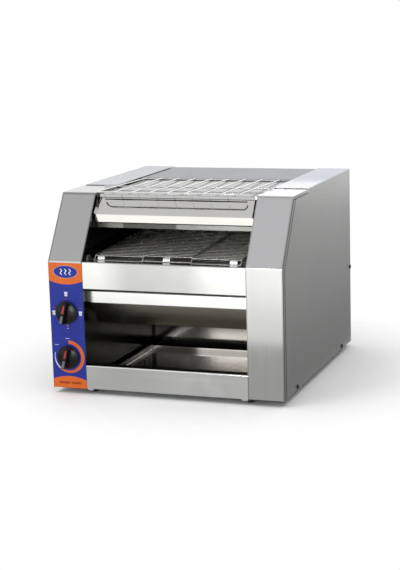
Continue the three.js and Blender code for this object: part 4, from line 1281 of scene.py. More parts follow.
@dataclass(frozen=True)
class WireSweep:
    """Round wire swept along polylines by a Geometry Nodes group."""

    radius: float
    fillet: float = 0.0
    sides: int = 10
    steps: int = 4

    @staticmethod
    def tree() -> bpy.types.NodeTree:
        """Builds the group: polylines, rounded corners, a round section, shading and material.

        Returns:
            The group.
        """
        graph, given = opened_group("wire sweep", {
            "Paths": "Geometry", "Radius": "Float", "Fillet": "Float", "Sides": "Int", "Steps": "Int",
            "Finish": "Material"}, "Wire")
        line = graph.out("GeometryNodeMeshToCurve", Mesh=given["Paths"])
        bend = graph.out("GeometryNodeFilletCurve", 0, {"mode": "POLY"}, Curve=line, Count=given["Steps"],
                         Radius=given["Fillet"], Limit_Radius=True)
        section = graph.out("GeometryNodeCurvePrimitiveCircle", 0, {"mode": "RADIUS"},
                            Resolution=given["Sides"], Radius=given["Radius"])
        tube = graph.out("GeometryNodeCurveToMesh", Curve=bend, Profile_Curve=section, Fill_Caps=True)
        return closed_group(graph, tube, given["Finish"], "Wire")

    def make(self, name: str, paths: Sequence[Path], finish: Finish) -> Mesh:
        """Sweeps the wire along every path.

        Args:
            name: The mesh's name.
            paths: Open polylines in the frame's coordinates.
            finish: The wire's finish.

        Returns:
            A plain mesh.
        """
        verts, edges = [], []
        for path in paths:
            edges += [(len(verts) + k, len(verts) + k + 1) for k in range(len(path) - 1)]
            verts += path
        data = bpy.data.meshes.new(f"{name} paths")
        data.from_pydata(verts, edges, [])
        return evaluated(data, name, self.tree(), {
            "Radius": self.radius, "Fillet": self.fillet, "Sides": self.sides, "Steps": self.steps,
            "Finish": finish.material()})


@dataclass(frozen=True)
class Fastener:
    """A screw or rivet head, drawn with its seat at the origin and its axis along +Z."""

    DOME_STEPS = 6

    radius: float
    height: float
    recess: float = 0.0
    sides: int = 24
    shoulder: float = 0.35

    def mesh(self) -> Mesh:
        """The head: a dome with a rounded rim and, for a screw, a round recess.

        Returns:
            The head's mesh.
        """
        turns = (math.pi / 2 * k / self.DOME_STEPS for k in range(self.DOME_STEPS))
        profile = [(0.0, 0.0), (self.radius * 0.97, 0.0), (self.radius, self.height * 0.2)]
        profile += [(self.radius * math.cos(t), self.height * (self.shoulder + (1 - self.shoulder) * math.sin(t)))
                    for t in turns]
        if self.recess:
            profile += [(self.recess, self.height * 0.97), (self.recess * 0.8, self.height * 0.45),
                        (0.0, self.height * 0.4)]
        else:
            profile.append((0.0, self.height))
        bm = bmesh.new()
        lathe(bm, Vector(), UPWARD, profile, self.sides)
        return as_mesh(bm, "fastener")


def fasteners(name: str, kind: Fastener, finish: Finish, places: Sequence[tuple[Vector, Vector]]) -> None:
    """Sets one fastener on each place by a Geometry Nodes group, as one piece that rides on the chassis.

    Args:
        name: The piece's name.
        kind: The fastener.
        finish: Its finish.
        places: (point, outward direction) of each one.
    """
    graph, given = opened_group("fasteners", {"Points": "Geometry", "Head": "Object", "Finish": "Material"}, "Heads")
    head = graph.out("GeometryNodeObjectInfo", "Geometry", Object=given["Head"])
    turn = graph.out("GeometryNodeInputNamedAttribute", 0, {"data_type": "FLOAT_VECTOR"}, Name=TURN)
    rotation = graph.out("FunctionNodeEulerToRotation", Euler=turn)
    spread = graph.out("GeometryNodeInstanceOnPoints", Points=given["Points"], Instance=head, Rotation=rotation)
    group = closed_group(graph, spread, given["Finish"], "Heads")
    data = bpy.data.meshes.new(f"{name} points")
    data.from_pydata([point for point, _ in places], [], [])
    turns = data.attributes.new(TURN, "FLOAT_VECTOR", "POINT")
    for k, (_, out) in enumerate(places):
        spin = Matrix.Rotation(SPIN * k, 4, "Z")
        turns.data[k].vector = (out.to_track_quat("Z", "Y").to_matrix().to_4x4() @ spin).to_euler()
    model = linked("fastener head", kind.mesh())
    result = evaluated(data, name, group, {"Head": model, "Finish": finish.material()})
    bpy.data.objects.remove(model)
    placed(result, name, "chassis", finish)


@dataclass(frozen=True)
class Casing:
    """Sheet-metal body, feet and the fasteners that hold it together."""

    cover_face: float = 0.229
    head_stand: float = 0.0002
    head_sink: float = 0.0004
    foot_chamfer: float = 0.0008
    foot_taper: float = 0.002
    foot_recess: Pair = (0.003, 0.0025)
    foot_collar: Pair = (0.72, 0.76)
    cover_screw: Fastener = Fastener(0.0044, 0.0024, 0.0016)
    cover_screw_places: tuple[Pair, ...] = ((0.090, 0.0065), (0.422, 0.0065), (0.4950, 0.161))
    rear_screw: Fastener = Fastener(0.0034, 0.0013, 0.0013)
    rear_inset: float = 0.009
    rear_top_inset: float = 0.010
    rear_middle: float = 0.075
    rear_side_height: float = 0.190
    rivet: Fastener = Fastener(0.0020, 0.0007, sides=20)
    rivet_columns: Pair = (-0.205, 0.205)
    rivet_rows: Triple = (-0.20, 0.0, 0.20)

    @staticmethod
    def point(x: float, y: float, z: float) -> Vector:
        """A place given from the casing's front face and bottom edge, in the frame's coordinates."""
        return Vector((x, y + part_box("tray_front")[0].y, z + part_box("left_column_front")[0].z))

    def build(self) -> None:
        """Makes every sheet, the feet and the fasteners."""
        log.info("casing")
        for side, steel, cover in (("left", LEFT_STEEL, LEFT_COVER_STEEL), ("right", RIGHT_STEEL, COVER_STEEL)):
            refined(f"{side}_column_front", steel, 0.0004)
            refined(f"{side}_side_cover", cover, 0.0003, reshape=self.sink_heads)
            refined(f"{side}_inner_wall", WALL_STEEL, 0.0002)
        refined("top_panel", TOP_STEEL, 0.0004)
        refined("base_pan", GALVANISED, 0.0002)
        refined("rear_panel", GALVANISED, 0.0002)
        self.feet()
        self.fixings()

    def sink_heads(self, bm: BMesh) -> None:
        """Presses the cover's plain screw heads flat, because finer ones stand in their places.

        Args:
            bm: The cover's mesh.
        """
        for vert in bm.verts:
            if abs(vert.co.x) > self.cover_face + self.head_stand:
                vert.co.x = math.copysign(self.cover_face - self.head_sink, vert.co.x)

    def feet(self) -> None:
        """Four turned rubber feet with a screw recess underneath."""
        hole, depth = self.foot_recess
        edge = self.foot_chamfer
        for node in (f"foot_{end}_{side}" for end in ("front", "rear") for side in SIDES):
            low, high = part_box(node)
            middle = centre_of(node)
            radius, height = (high.x - low.x) / 2, high.z - low.z
            tread = radius - self.foot_taper
            start, end = (height * share for share in self.foot_collar)
            profile = [(0.0, depth), (hole, depth), (hole, 0.0), (tread - edge, 0.0), (tread, edge),
                       (radius - edge, start), (radius, end), (radius, height - edge), (radius - edge, height),
                       (0.0, height)]
            turned(f"{node}_shape", node, RUBBER, Vector((middle.x, middle.y, low.z)), UPWARD,
                   profile, 48)

    def fixings(self) -> None:
        """Black screws low on both covers and on their rear edges, screws at the rear, rivets underneath."""
        covers = [(at_x(side * self.cover_face, self.point(0, y, z)), Vector((side, 0, 0)))
                  for side in (-1, 1) for y, z in self.cover_screw_places]
        fasteners("cover_screws", self.cover_screw, BLACK_SCREW, covers)
        low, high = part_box("rear_panel")
        left, right = low.x + self.rear_inset, high.x - self.rear_inset
        spots = [(x, z) for x in (left, -self.rear_middle, self.rear_middle, right)
                 for z in (low.z + self.rear_inset, high.z - self.rear_top_inset)]
        spots.append((right, self.point(0, 0, self.rear_side_height).z))
        fasteners("rear_screws", self.rear_screw, BLACK_SCREW, [(Vector((x, high.y, z)), REARWARD) for x, z in spots])
        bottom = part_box("base_pan")[0].z
        fasteners("base_rivets", self.rivet, GALVANISED, [(Vector((x, y, bottom)), Vector((0, 0, -1)))
                                                          for x in self.rivet_columns for y in self.rivet_rows])


@dataclass(frozen=True)
class Hood:
    """The sheets over and round the toasting space."""

    hem: float = 0.006
    drop: float = 0.0030

    def build(self) -> None:
        """Makes the shelf, hood plate, apron, reflectors, deflector and slide."""
        log.info("hood and guides")
        refined("warming_shelf", SHELF_STEEL, 0.0004)
        refined("hood_front", HOOD_STEEL, 0.0003, reshape=self.lengthen)
        refined("front_apron", FRONT_STEEL, 0.0004, reshape=self.lengthen)
        refined("upper_reflector", CURTAIN_STEEL, 0.0002)
        refined("lower_reflector", BAKED_STEEL, 0.0002)
        refined("lower_deflector", DEFLECTOR_STEEL, 0.0003)
        refined("return_slide", SLIDE_STEEL, 0.0003)

    def lengthen(self, bm: BMesh) -> None:
        """Lets a sheet's lower hem hang a little further down over the opening under it.

        Args:
            bm: The sheet's mesh.
        """
        low = min(vert.co.z for vert in bm.verts)
        for vert in bm.verts:
            if vert.co.z < low + self.hem:
                vert.co.z -= self.drop


@dataclass(frozen=True)
class Tray:
    """The pull-out tray, its front and the runners it slides on."""

    sheet: float = 0.001
    tab_inner: float = 0.1478
    tab_outer: float = 0.1596
    tab_drop: float = 0.0032
    tab_sheet: float = 0.0010
    tab_inset: float = 0.0011
    bead: float = 0.0012
    bead_inset: float = 0.004
    screw: Fastener = Fastener(0.0028, 0.0014, 0.0011)
    screw_level: float = 0.0022
    screw_inset: Pair = (0.004, 0.03)

    def build(self) -> None:
        """Makes the pan, the front, the tabs, the seams and both runners with their screws."""
        log.info("tray")
        refined("tray_pan", TRAY_STEEL, 0.0003, "tray")
        refined("tray_front", TRAY_FRONT_STEEL, 0.0004, "tray")
        self.tabs()
        self.seams()
        self.runners()

    def tabs(self) -> None:
        """The two small tabs on which the tray's front rests, with cut corners."""
        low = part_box("tray_front")[0]
        inner, outer, drop, cut = self.tab_inner, self.tab_outer, self.tab_drop, self.tab_drop / 3
        corners = ((inner, drop), (inner, cut - drop), (inner + cut, -drop), (outer - cut, -drop),
                   (outer, cut - drop), (outer, drop))
        bm = bmesh.new()
        for side in (-1, 1):
            outline = [Vector((side * x, low.y + self.tab_inset, low.z + z)) for x, z in corners]
            prism(bm, outline, REARWARD * self.tab_sheet)
        round_edges(bm, 0.0002)
        piece(bm, "tray_tabs", "tray", TRAY_FRONT_STEEL)

    def seams(self) -> None:
        """Rounded seams where the pan's floor meets its side walls."""
        low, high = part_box("tray_pan")
        inset = self.sheet + self.bead
        paths = [[Vector((x, y, low.z + inset)) for y in (low.y + self.bead_inset, high.y - self.bead_inset)]
                 for x in (low.x + inset, high.x - inset)]
        seams = WireSweep(self.bead, sides=12, steps=1).make("tray_seams", paths, RACK_WIRE)
        placed(seams, "tray_seams", "tray", RACK_WIRE)

    def runners(self) -> None:
        """Both runners, each with two screws."""
        across, along = self.screw_inset
        places = []
        for side in SIDES:
            node = f"{side}_tray_runner"
            refined(node, GALVANISED, 0.0002)
            low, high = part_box(node)
            x = high.x - across if side == "right" else low.x + across
            places += [(Vector((x, y, low.z + self.screw_level)), UPWARD) for y in (low.y + along, high.y - along)]
        fasteners("runner_screws", self.screw, BLACK_SCREW, places)


@dataclass(frozen=True)
class Conveyor:
    """Wire belt, its support, shafts, toothed wheels and bearings.

    Its wires lie a pitch apart, and each hooks into the next one at its ends and at two shares of its width.
    """

    pitch: float = 0.0127
    wire: float = 0.00095
    wire_bend: float = 0.0011
    solid_wire: float = 0.001
    lay: float = 0.0009
    lift: float = 0.0008
    hook: float = 0.0012
    curl: float = 0.0014
    curl_inset: float = 0.001
    crest_place: float = 0.72
    crest_lift: float = 0.9
    width_shares: Pair = (1 / 3, 2 / 3)
    teeth: int = 5
    tooth_height: float = 0.0016
    tooth_half: float = math.radians(9)
    seat_play: float = 0.00015
    seat_steps: int = 8
    rail: float = 0.002
    rail_play: float = 0.0003
    rail_gap: float = 0.016
    rail_places: tuple[float, ...] = (-0.090, -0.024, 0.024, 0.090)
    rod_drop: float = 1.75
    rod_shares: Pair = (0.15, 0.87)
    shaft_chamfer: float = 0.0006
    groove_place: float = 0.002
    groove_width: float = 0.0011
    groove_slant: float = 0.0001
    bush_flange: float = 0.0027
    bush_barrel: float = 0.008
    bush_bore: float = 0.00505
    bush_chamfer: float = 0.0004

    @property
    def front(self) -> Vector:
        """The front shaft's axis in the middle plane."""
        return at_x(0, centre_of("front_shaft"))

    @property
    def drive(self) -> Vector:
        """The drive shaft's axis in the middle plane."""
        return at_x(0, centre_of("drive_shaft"))

    @property
    def along(self) -> Vector:
        """The direction from the front shaft to the drive shaft."""
        return (self.drive - self.front).normalized()

    @property
    def up(self) -> Vector:
        """The belt plane's upward normal."""
        return RIGHTWARD.cross(self.along).normalized()

    @property
    def radius(self) -> float:
        """The radius at which wires lie on a wheel."""
        return self.pitch / (2 * math.sin(math.pi / self.teeth))

    def build(self) -> None:
        """Makes the belt and everything that carries it."""
        log.info("conveyor")
        belt = WireSweep(self.wire, self.wire_bend, sides=7, steps=2).make("belt_wires", self.strands(), BELT_WIRE)
        placed(belt, "belt_wires", "chassis", BELT_WIRE, ("wire_belt",))
        self.support()
        for line, axis in (("front", self.front), ("drive", self.drive)):
            body = f"{line}_roller"
            self.shaft(f"{line}_shaft", body)
            for place in ("left", "middle", "right"):
                self.wheel(f"{line}_sprocket_{place}", body, axis)
            for side in SIDES:
                self.bearing(f"{line}_bearing_{side}")

    def on_line(self, x: float, ahead: float, above: float) -> Vector:
        """A place given across, along and over the line from the front shaft to the drive shaft."""
        return at_x(x, self.front + self.along * ahead + self.up * above)

    def on_wheel(self, ahead: float, angle: float) -> Triple:
        """A row that lies on a wheel: how far ahead of and above the front shaft, and its angle."""
        return ahead + self.radius * math.cos(angle), self.radius * math.sin(angle), angle

    def rows(self) -> list[tuple[Vector, Vector, Vector]]:
        """Every row of the closed belt, over the upper run, round the drive wheels and back below.

        Returns:
            Each row's place, its direction of travel and its outward normal.
        """
        span = (self.drive - self.front).length
        count = round(span / self.pitch)
        step, top = 2 * math.pi / self.teeth, math.pi / 2
        under = -self.radius * math.cos(step / 2)
        around = [(self.pitch * k, self.radius, top) for k in range(count + 1)]
        around.append(self.on_wheel(self.pitch * count, top - step))
        around += [(self.pitch * (k + 0.5), under, -top) for k in range(count, -2, -1)]
        around.append(self.on_wheel(0.0, top + step))
        rows = []
        for ahead, above, angle in around:
            normal = self.along * math.cos(angle) + self.up * math.sin(angle)
            rows.append((self.on_line(0, ahead, above), -RIGHTWARD.cross(normal), normal))
        return rows

    def strands(self) -> list[list[Vector]]:
        """One hooked polyline for each wire of the belt.

        Returns:
            The polylines.
        """
        low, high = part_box("wire_belt")
        half = (high.x - low.x) / 2
        edge, hook = half - self.wire, self.hook
        left, right = ((2 * share - 1) * half for share in self.width_shares)
        rows = self.rows()
        paths = []
        for (place, travel, normal), (ahead, next_travel, next_normal) in zip(rows, rows[1:] + rows[:1]):
            here = place - travel * self.lay - normal * self.lift
            there = ahead + next_travel * self.lay + next_normal * self.lift
            curl = there + next_travel * self.curl - next_normal * self.lift
            outward = (normal + next_normal).normalized()
            crest = here.lerp(there, self.crest_place) + outward * self.lift * self.crest_lift
            paths.append([at_x(x, point) for x, point in (
                (self.curl_inset - edge, curl), (-edge, there), (-edge, crest), (-edge, here), (left + hook, here),
                (left, crest), (left - hook, there), (right + hook, there), (right, crest), (right - hook, here),
                (edge, here), (edge, crest), (edge, there), (edge - self.curl_inset, curl))])
        return paths

    def support(self) -> None:
        """Rails and cross rods under the belt's upper run, as round bars."""
        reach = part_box("belt_support")[1].x
        span = (self.drive - self.front).length
        level = self.radius - self.solid_wire - self.rail_play - self.rail
        rails = [[self.on_line(x, ahead, level) for ahead in (self.rail_gap, span - self.rail_gap)]
                 for x in self.rail_places]
        rods = [[self.on_line(x, span * share, level - self.rail * self.rod_drop) for x in (-reach, reach)]
                for share in self.rod_shares]
        bars = WireSweep(self.rail, sides=16, steps=1).make("support_bars", rails + rods, RAIL_STEEL)
        placed(bars, "support_bars", "chassis", RAIL_STEEL, ("belt_support",))

    def shaft(self, node: str, body: str) -> None:
        """A turned shaft with chamfered ends and a groove for a retaining ring near each end.

        Args:
            node: The shaft's node.
            body: The body that it rides on.
        """
        low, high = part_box(node)
        radius, length = (high.z - low.z) / 2, high.x - low.x
        edge, start = self.shaft_chamfer, self.groove_place
        half = [(0.0, 0.0), (radius - edge, 0.0), (radius, edge), (radius, start),
                (radius - edge, start + self.groove_slant), (radius - edge, start + self.groove_width),
                (radius, start + self.groove_slant + self.groove_width)]
        profile = half + [(r, length - along) for r, along in reversed(half)]
        turned(f"{node}_bar", node, SHAFT_STEEL, at_x(low.x, centre_of(node)), RIGHTWARD, profile, 36,
               body)

    def wheel(self, node: str, body: str, axis: Vector) -> None:
        """A toothed wheel with round seats for the belt's wires.

        Args:
            node: The wheel's node.
            body: The body that it rides on.
            axis: Its shaft's axis in the middle plane.
        """
        low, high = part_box(node)
        seat = self.solid_wire * math.sqrt(2) + self.seat_play
        reach = self.radius + self.tooth_height
        step = 2 * math.pi / self.teeth
        rim = []
        for k in range(self.teeth):
            at = math.pi / 2 + k * step
            for part in range(self.seat_steps + 1):
                angle = at - math.pi / 2 - math.pi * part / self.seat_steps
                rim.append((self.radius * math.cos(at) + seat * math.cos(angle),
                            self.radius * math.sin(at) + seat * math.sin(angle)))
            for angle in (at + step / 2 - self.tooth_half, at + step / 2 + self.tooth_half):
                rim.append((reach * math.cos(angle), reach * math.sin(angle)))
        bm = bmesh.new()
        prism(bm, [at_x(low.x, axis + self.along * a + self.up * b) for a, b in rim], RIGHTWARD * (high.x - low.x))
        round_edges(bm, 0.0003)
        piece(bm, f"{node}_wheel", body, WHEEL_STEEL, (node,))

    def bearing(self, node: str) -> None:
        """A flanged bush with a chamfered bore; its flange is towards the middle of the toaster.

        Args:
            node: The bearing's node.
        """
        low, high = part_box(node)
        middle = centre_of(node)
        start = at_x(low.x if middle.x > 0 else high.x, middle)
        wide, length = (high.z - low.z) / 2, high.x - low.x
        flange, barrel, bore, edge = self.bush_flange, self.bush_barrel, self.bush_bore, self.bush_chamfer
        profile = [(bore, edge), (bore + edge, 0.0), (wide - edge, 0.0), (wide, edge), (wide, flange - edge),
                   (wide - edge, flange), (barrel, flange), (barrel, length - edge), (barrel - edge, length),
                   (bore + edge, length), (bore, length - edge), (bore, edge)]
        turned(f"{node}_bush", node, GALVANISED, start,
               Vector((math.copysign(1, middle.x), 0, 0)), profile, 40)


@dataclass(frozen=True)
class Heaters:
    """Sheathed heating elements over and under the belt's upper run; nut gives where its faces lie on the pin."""

    tube: float = 0.004
    bush: float = 0.0055
    bush_start: float = 0.014
    chamfer: float = 0.0004
    pin: float = 0.0015
    pin_start: float = 0.008
    nut: Pair = (0.002, 0.004)
    nut_size: float = 1.9
    thread_depth: float = 0.00025
    thread_step: float = 0.00035
    thread_turns: int = 5
    tip: float = 0.6

    def build(self) -> None:
        """Turns each heater: sheath, end bushes with collars, and threaded pins with nuts."""
        log.info("heaters")
        for level in ("upper", "lower"):
            for place in ("front", "middle", "rear"):
                self.heater(f"{level}_heater_{place}")

    def heater(self, node: str) -> None:
        """One heater, whose right half is drawn and mirrored.

        Args:
            node: The heater's node.
        """
        reach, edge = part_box(node)[1].x, self.chamfer
        pin, bush = reach - self.pin_start, reach - self.bush_start
        near, far = (pin + place for place in self.nut)
        half = [(self.tube, 0.0), (self.tube, bush), (self.bush - edge, bush), (self.bush, bush + edge),
                (self.bush, pin - edge), (self.bush - edge, pin), (self.pin, pin), (self.pin, near),
                (self.pin * self.nut_size, near), (self.pin * self.nut_size, far), (self.pin, far)]
        half += [(self.pin - self.thread_depth * (k % 2), far + self.thread_step * k)
                 for k in range(1, 2 * self.thread_turns + 1)]
        half += [(self.pin * self.tip, reach), (0.0, reach)]
        profile = [(r, -along) for r, along in reversed(half)] + half[1:]
        turned(f"{node}_element", node, SHEATH, at_x(0, centre_of(node)), RIGHTWARD, profile, 24)


@dataclass(frozen=True)
class Drive:
    """Gearmotor, chain and chain wheels in the right-hand column."""

    screw: Fastener = Fastener(0.003, 0.0018, 0.0012)
    screw_face: float = 0.014
    screw_spread: Pair = (0.029, 0.022)

    def build(self) -> None:
        """Refines the drive's pieces and adds the motor's screws."""
        log.info("drive")
        refined("gearmotor", MOTOR_PAINT, 0.0005)
        refined("drive_chain", CHAIN_STEEL, 0.0001)
        refined("driven_sprocket", WHEEL_STEEL, 0.0002, "drive_roller")
        refined("motor_sprocket", WHEEL_STEEL, 0.0002, "motor_output")
        across, up = self.screw_spread
        middle = at_x(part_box("gearmotor")[1].x - self.screw_face, centre_of("gearmotor"))
        places = [(middle + Vector((0, a * across, b * up)), RIGHTWARD) for a in (-1, 1) for b in (-1, 1)]
        fasteners("gearbox_screws", self.screw, BLACK_SCREW, places)


@dataclass(frozen=True)
class Controls:
    """Printed strip, switches and the two knobs.

    A knob's own coordinates are x across its grip bar, y up along it and z outwards from its back. The cone's step
    and the grip's levels are shares of the knob's sizes, from the back outwards. An insert has (half its width,
    place along the bar) at each end.
    """

    radius: float = 0.022
    skirt: float = 0.005
    back_chamfer: Pair = (0.0004, 0.0006)
    rim: float = 0.0014
    rim_steps: int = 5
    cone_step: tuple[Pair, ...] = ((0.84, -0.0003), (0.81, 0.0004), (0.79, 0.0006))
    cone: float = math.radians(12)
    tilt: float = math.radians(14)
    grip_half: float = 0.0046
    grip_height: float = 0.016
    grip_reach: float = 0.0205
    grip_steps: int = 8
    grip_root: float = 0.004
    grip_taper: float = 0.74
    insert_depth: float = 0.0010
    insert_stand: float = 0.0003
    insert_taper: float = 0.94
    pointer: tuple[Pair, Pair] = ((0.0023, 0.0015), (0.0013, 0.0182))
    tail: tuple[Pair, Pair] = ((0.0028, -0.0182), (0.0024, -0.0030))

    def build(self) -> None:
        """Makes the strip, both switches and both knobs."""
        log.info("controls")
        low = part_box("control_overlay")[0]
        finish = ControlPrint("control print", (0.03, 0.045, 0.335), 0.38, left=low.x, bottom=low.z - 0.001)
        refined("control_overlay", finish, 0.0001)
        refined("selector_switch", BLACK_PLAIN, 0.0004)
        refined("speed_control", BLACK_PLAIN, 0.0003)
        self.knob("selector")
        self.knob("speed")

    def knob(self, name: str) -> None:
        """A turned skirt with a tapered grip bar across it, a red insert at its upper end, and below an insert whose
        pale colour is a painted highlight.

        Args:
            name: The knob's body.
        """
        node = f"{name}_knob"
        middle = centre_of(node)
        back = Vector((middle.x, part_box(node)[0].y + self.skirt + self.grip_height, middle.z))
        side = Vector((math.cos(self.tilt), 0, -math.sin(self.tilt)))
        up = Vector((math.sin(self.tilt), 0, math.cos(self.tilt)))
        pose = Matrix.Translation(back) @ Matrix((side, up, -REARWARD)).transposed().to_4x4()
        turns = (math.pi / 2 * k / self.rim_steps for k in range(self.rim_steps + 1))
        rounded = [(self.radius - self.rim * (1 - math.cos(t)), self.skirt - self.rim * (1 - math.sin(t)))
                   for t in turns]
        step = [(self.radius * share, self.skirt + rise) for share, rise in self.cone_step]
        foot, level = step[-1]
        inset, edge = self.back_chamfer
        bm = bmesh.new()
        lathe(bm, back, Vector((0, -1, 0)), [
            (0.0, 0.0), (self.radius - inset, 0.0), (self.radius, edge), *rounded, *step,
            (0.0, level + foot * math.tan(self.cone))], 96)
        self.grip(bm, pose)
        piece(bm, f"{node}_body", name, BLACK_GLOSS, (node,))
        bm = self.insert(pose, self.pointer)
        piece(bm, f"{name}_pointer_insert", name, RED_INSERT, (f"{name}_pointer",))
        # An insert at the grip's lower end, painted pale as a painted highlight.
        bm = self.insert(pose, self.tail)
        piece(bm, f"{name}_tail_insert", name, GRIP_HIGHLIGHT_PAINT)

    def grip(self, bm: BMesh, pose: Matrix) -> None:
        """The grip bar: long, with ends that follow the skirt's edge, narrower at the front.

        Args:
            bm: The knob's mesh.
            pose: The way from the knob's coordinates to the frame's.
        """
        spread = math.asin(self.grip_half / self.grip_reach)
        turns = [math.pi * end + spread * (1 - 2 * k / self.grip_steps) + math.pi / 2
                 for end in (0, 1) for k in range(self.grip_steps + 1)]
        levels = [(self.skirt * 0.6, 1.0, 1.0), (self.skirt + self.grip_root, 0.97, 0.995)]
        levels += [(self.skirt + self.grip_height * height, self.grip_taper * narrow, short)
                   for height, narrow, short in ((0.93, 1.0, 0.955), (0.985, 0.93, 0.94), (1.0, 0.80, 0.92))]
        rings = [[bm.verts.new(pose @ Vector((self.grip_reach * math.cos(t) * narrow,
                                              self.grip_reach * math.sin(t) * short, height))) for t in turns]
                 for height, narrow, short in levels]
        faces = [bm.faces.new(rings[0]), bm.faces.new(rings[-1]), *skinned(bm, rings)]
        bmesh.ops.recalc_face_normals(bm, faces=faces)

    def insert(self, pose: Matrix, ends: tuple[Pair, Pair]) -> BMesh:
        """A wedge let into the grip's front face, with rounded edges.

        Args:
            pose: The way from the knob's coordinates to the frame's.
            ends: (half its width, place along the bar) of each end.

        Returns:
            The wedge's mesh.
        """
        level = self.skirt + self.grip_height - self.insert_depth
        (first, start), (second, end) = ends
        outline = [pose @ Vector((x, y, level))
                   for x, y in ((-first, start), (first, start), (second, end), (-second, end))]
        bm = bmesh.new()
        prism(bm, outline, -REARWARD * (self.insert_depth + self.insert_stand), self.insert_taper)
        round_edges(bm, 0.00015)
        return bm


@dataclass(frozen=True)
class Rack:
    """The loose warming rack: wires welded across rails, two of them one with the bent front bar.

    Its own coordinates have their origin where the long rail rests, and y grows rearwards along its wires.
    """

    wire: float = 0.0012
    play: float = 0.0003
    count: int = 9
    half: float = 0.142
    corner: float = 0.011
    bead: float = 0.0017
    bead_height: float = 0.62
    shift: float = -0.008
    rest_place: float = 0.165
    rest_half: float = 0.172
    front: float = -0.111
    rear: float = 0.143
    second: float = 0.018
    lean: float = math.atan(-0.003 / 0.143)
    shade: float = 0.15
    shelf_edge: float = 0.094

    def build(self) -> None:
        """Bends the frame, lays the wires across the rails and adds a weld bead at each crossing."""
        log.info("warming rack")
        rest = Casing.point(self.shift, self.rest_place, 0)
        rest.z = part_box("left_column_front")[1].z + self.play + self.wire
        tilt = Matrix.Translation(rest) @ Matrix.Rotation(self.lean, 4, "X")
        half, front, rear, over = self.half, self.front, self.rear, self.wire
        places = [k * 2 * half / (self.count - 1) - half for k in range(self.count)]
        rungs = ((half + over, front + self.second), (self.rest_half, 0.0), (half + over, rear))
        bar = [(-half, rear, over), (-half, front, over), (half, front, over), (half, rear, over)]
        wires = [[(x, front, over), (x, rear, over)] for x in places[1:-1]]
        rails = [[(-x, y, 0.0), (x, y, 0.0)] for x, y in rungs]
        paths = [[tilt @ Vector(point) for point in path] for path in (bar, *wires, *rails)]
        data = WireSweep(self.wire, self.corner, sides=14, steps=10).make("rack_wires", paths, RACK_WIRE)
        self.shade_under(data)
        placed(data, "rack_wires", "rack", RACK_WIRE, ("warming_rack",))
        bm = bmesh.new()
        for x in places:
            for _, y in rungs:
                spot = tilt @ Matrix.Translation((x, y, over / 2)) @ Matrix.Diagonal((1.0, 1.0, self.bead_height, 1.0))
                bmesh.ops.create_icosphere(bm, subdivisions=2, radius=self.bead, matrix=spot)
        piece(bm, "rack_welds", "rack", RACK_WIRE)

    def shade_under(self, data: Mesh) -> None:
        """Marks the lower sides of the wires that overhang the hood for painted shade, which makes them look dark.

        Args:
            data: The wires' mesh.
        """
        overhang = Casing.point(0, self.shelf_edge, 0).y
        shaded = data.attributes.new(UNDER, "FLOAT", "FACE")
        for face in data.polygons:
            below = face.normal.y - face.normal.z > self.shade and face.center.y < overhang
            shaded.data[face.index].value = float(below)


@dataclass(frozen=True)
class Rear:
    """Fan, terminal block and cable gland."""

    bore: float = 0.005
    thread: float = 0.010
    chamfer: float = 0.0006
    play: float = 0.0003
    cap: tuple[Pair, ...] = ((0.0005, 0.0022), (-0.0012, 0.0004), (-0.0022, 0.0))

    def build(self) -> None:
        """Refines the moulded pieces and turns the gland."""
        log.info("rear")
        refined("fan_frame", BLACK_PLAIN, 0.0003)
        refined("fan_rotor", BLACK_PLAIN, 0.0002, "fan")
        refined("terminal_block", BLACK_PLAIN, 0.0003)
        self.gland()

    def gland(self) -> None:
        """The cable gland: thread, flange and tapered cap, bored for a cord."""
        low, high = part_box("cable_gland")
        bore, thread, edge = self.bore, self.thread, self.chamfer
        wide, length = (high.x - low.x) / 2, high.y - low.y
        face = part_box("rear_panel")[1].y + self.play - low.y
        half = (face + length) / 2
        cap = [(thread + wider, length - before) for wider, before in self.cap]
        profile = [(bore, edge), (bore + edge, 0.0), (thread - edge, 0.0), (thread, edge), (thread, face),
                   (wide - edge, face), (wide, face + edge), (wide, half - edge), (wide - edge, half), *cap,
                   (bore + edge, length), (bore, length - edge), (bore, edge)]
        middle = centre_of("cable_gland")
        turned("cable_gland_body", "cable_gland", BLACK_PLAIN,
               Vector((middle.x, low.y, middle.z)), REARWARD, profile, 48)


# What isn't the object: floor, reflection cards, lamps, backdrop and camera.


@dataclass(frozen=True)
class FloorPaint(Finish):
    """A plain pale floor that gives way to the backdrop away from the object."""

    near: float = 0.30
    far: float = 0.62

    def looks(self, graph: Graph) -> Looks:
        """A faint unevenness.

        Args:
            graph: The material's graph.

        Returns:
            The shader's inputs by name.
        """
        return dict(Base_Color=graph.shade(self.colour, 0.99 + 0.02 * graph.noise(3.0)))

    def surface(self, graph: Graph, shader: Signal) -> Signal:
        """The paint, clear beyond the far edge.

        Args:
            graph: The material's graph.
            shader: The paint's shader.

        Returns:
            Both, mixed.
        """
        away = graph.out("ShaderNodeVectorMath", "Value", {"operation": "LENGTH"}, Vector=graph.place())
        return graph.mixed(away.ramp(self.near, self.far), shader, graph.out("ShaderNodeBsdfTransparent"))


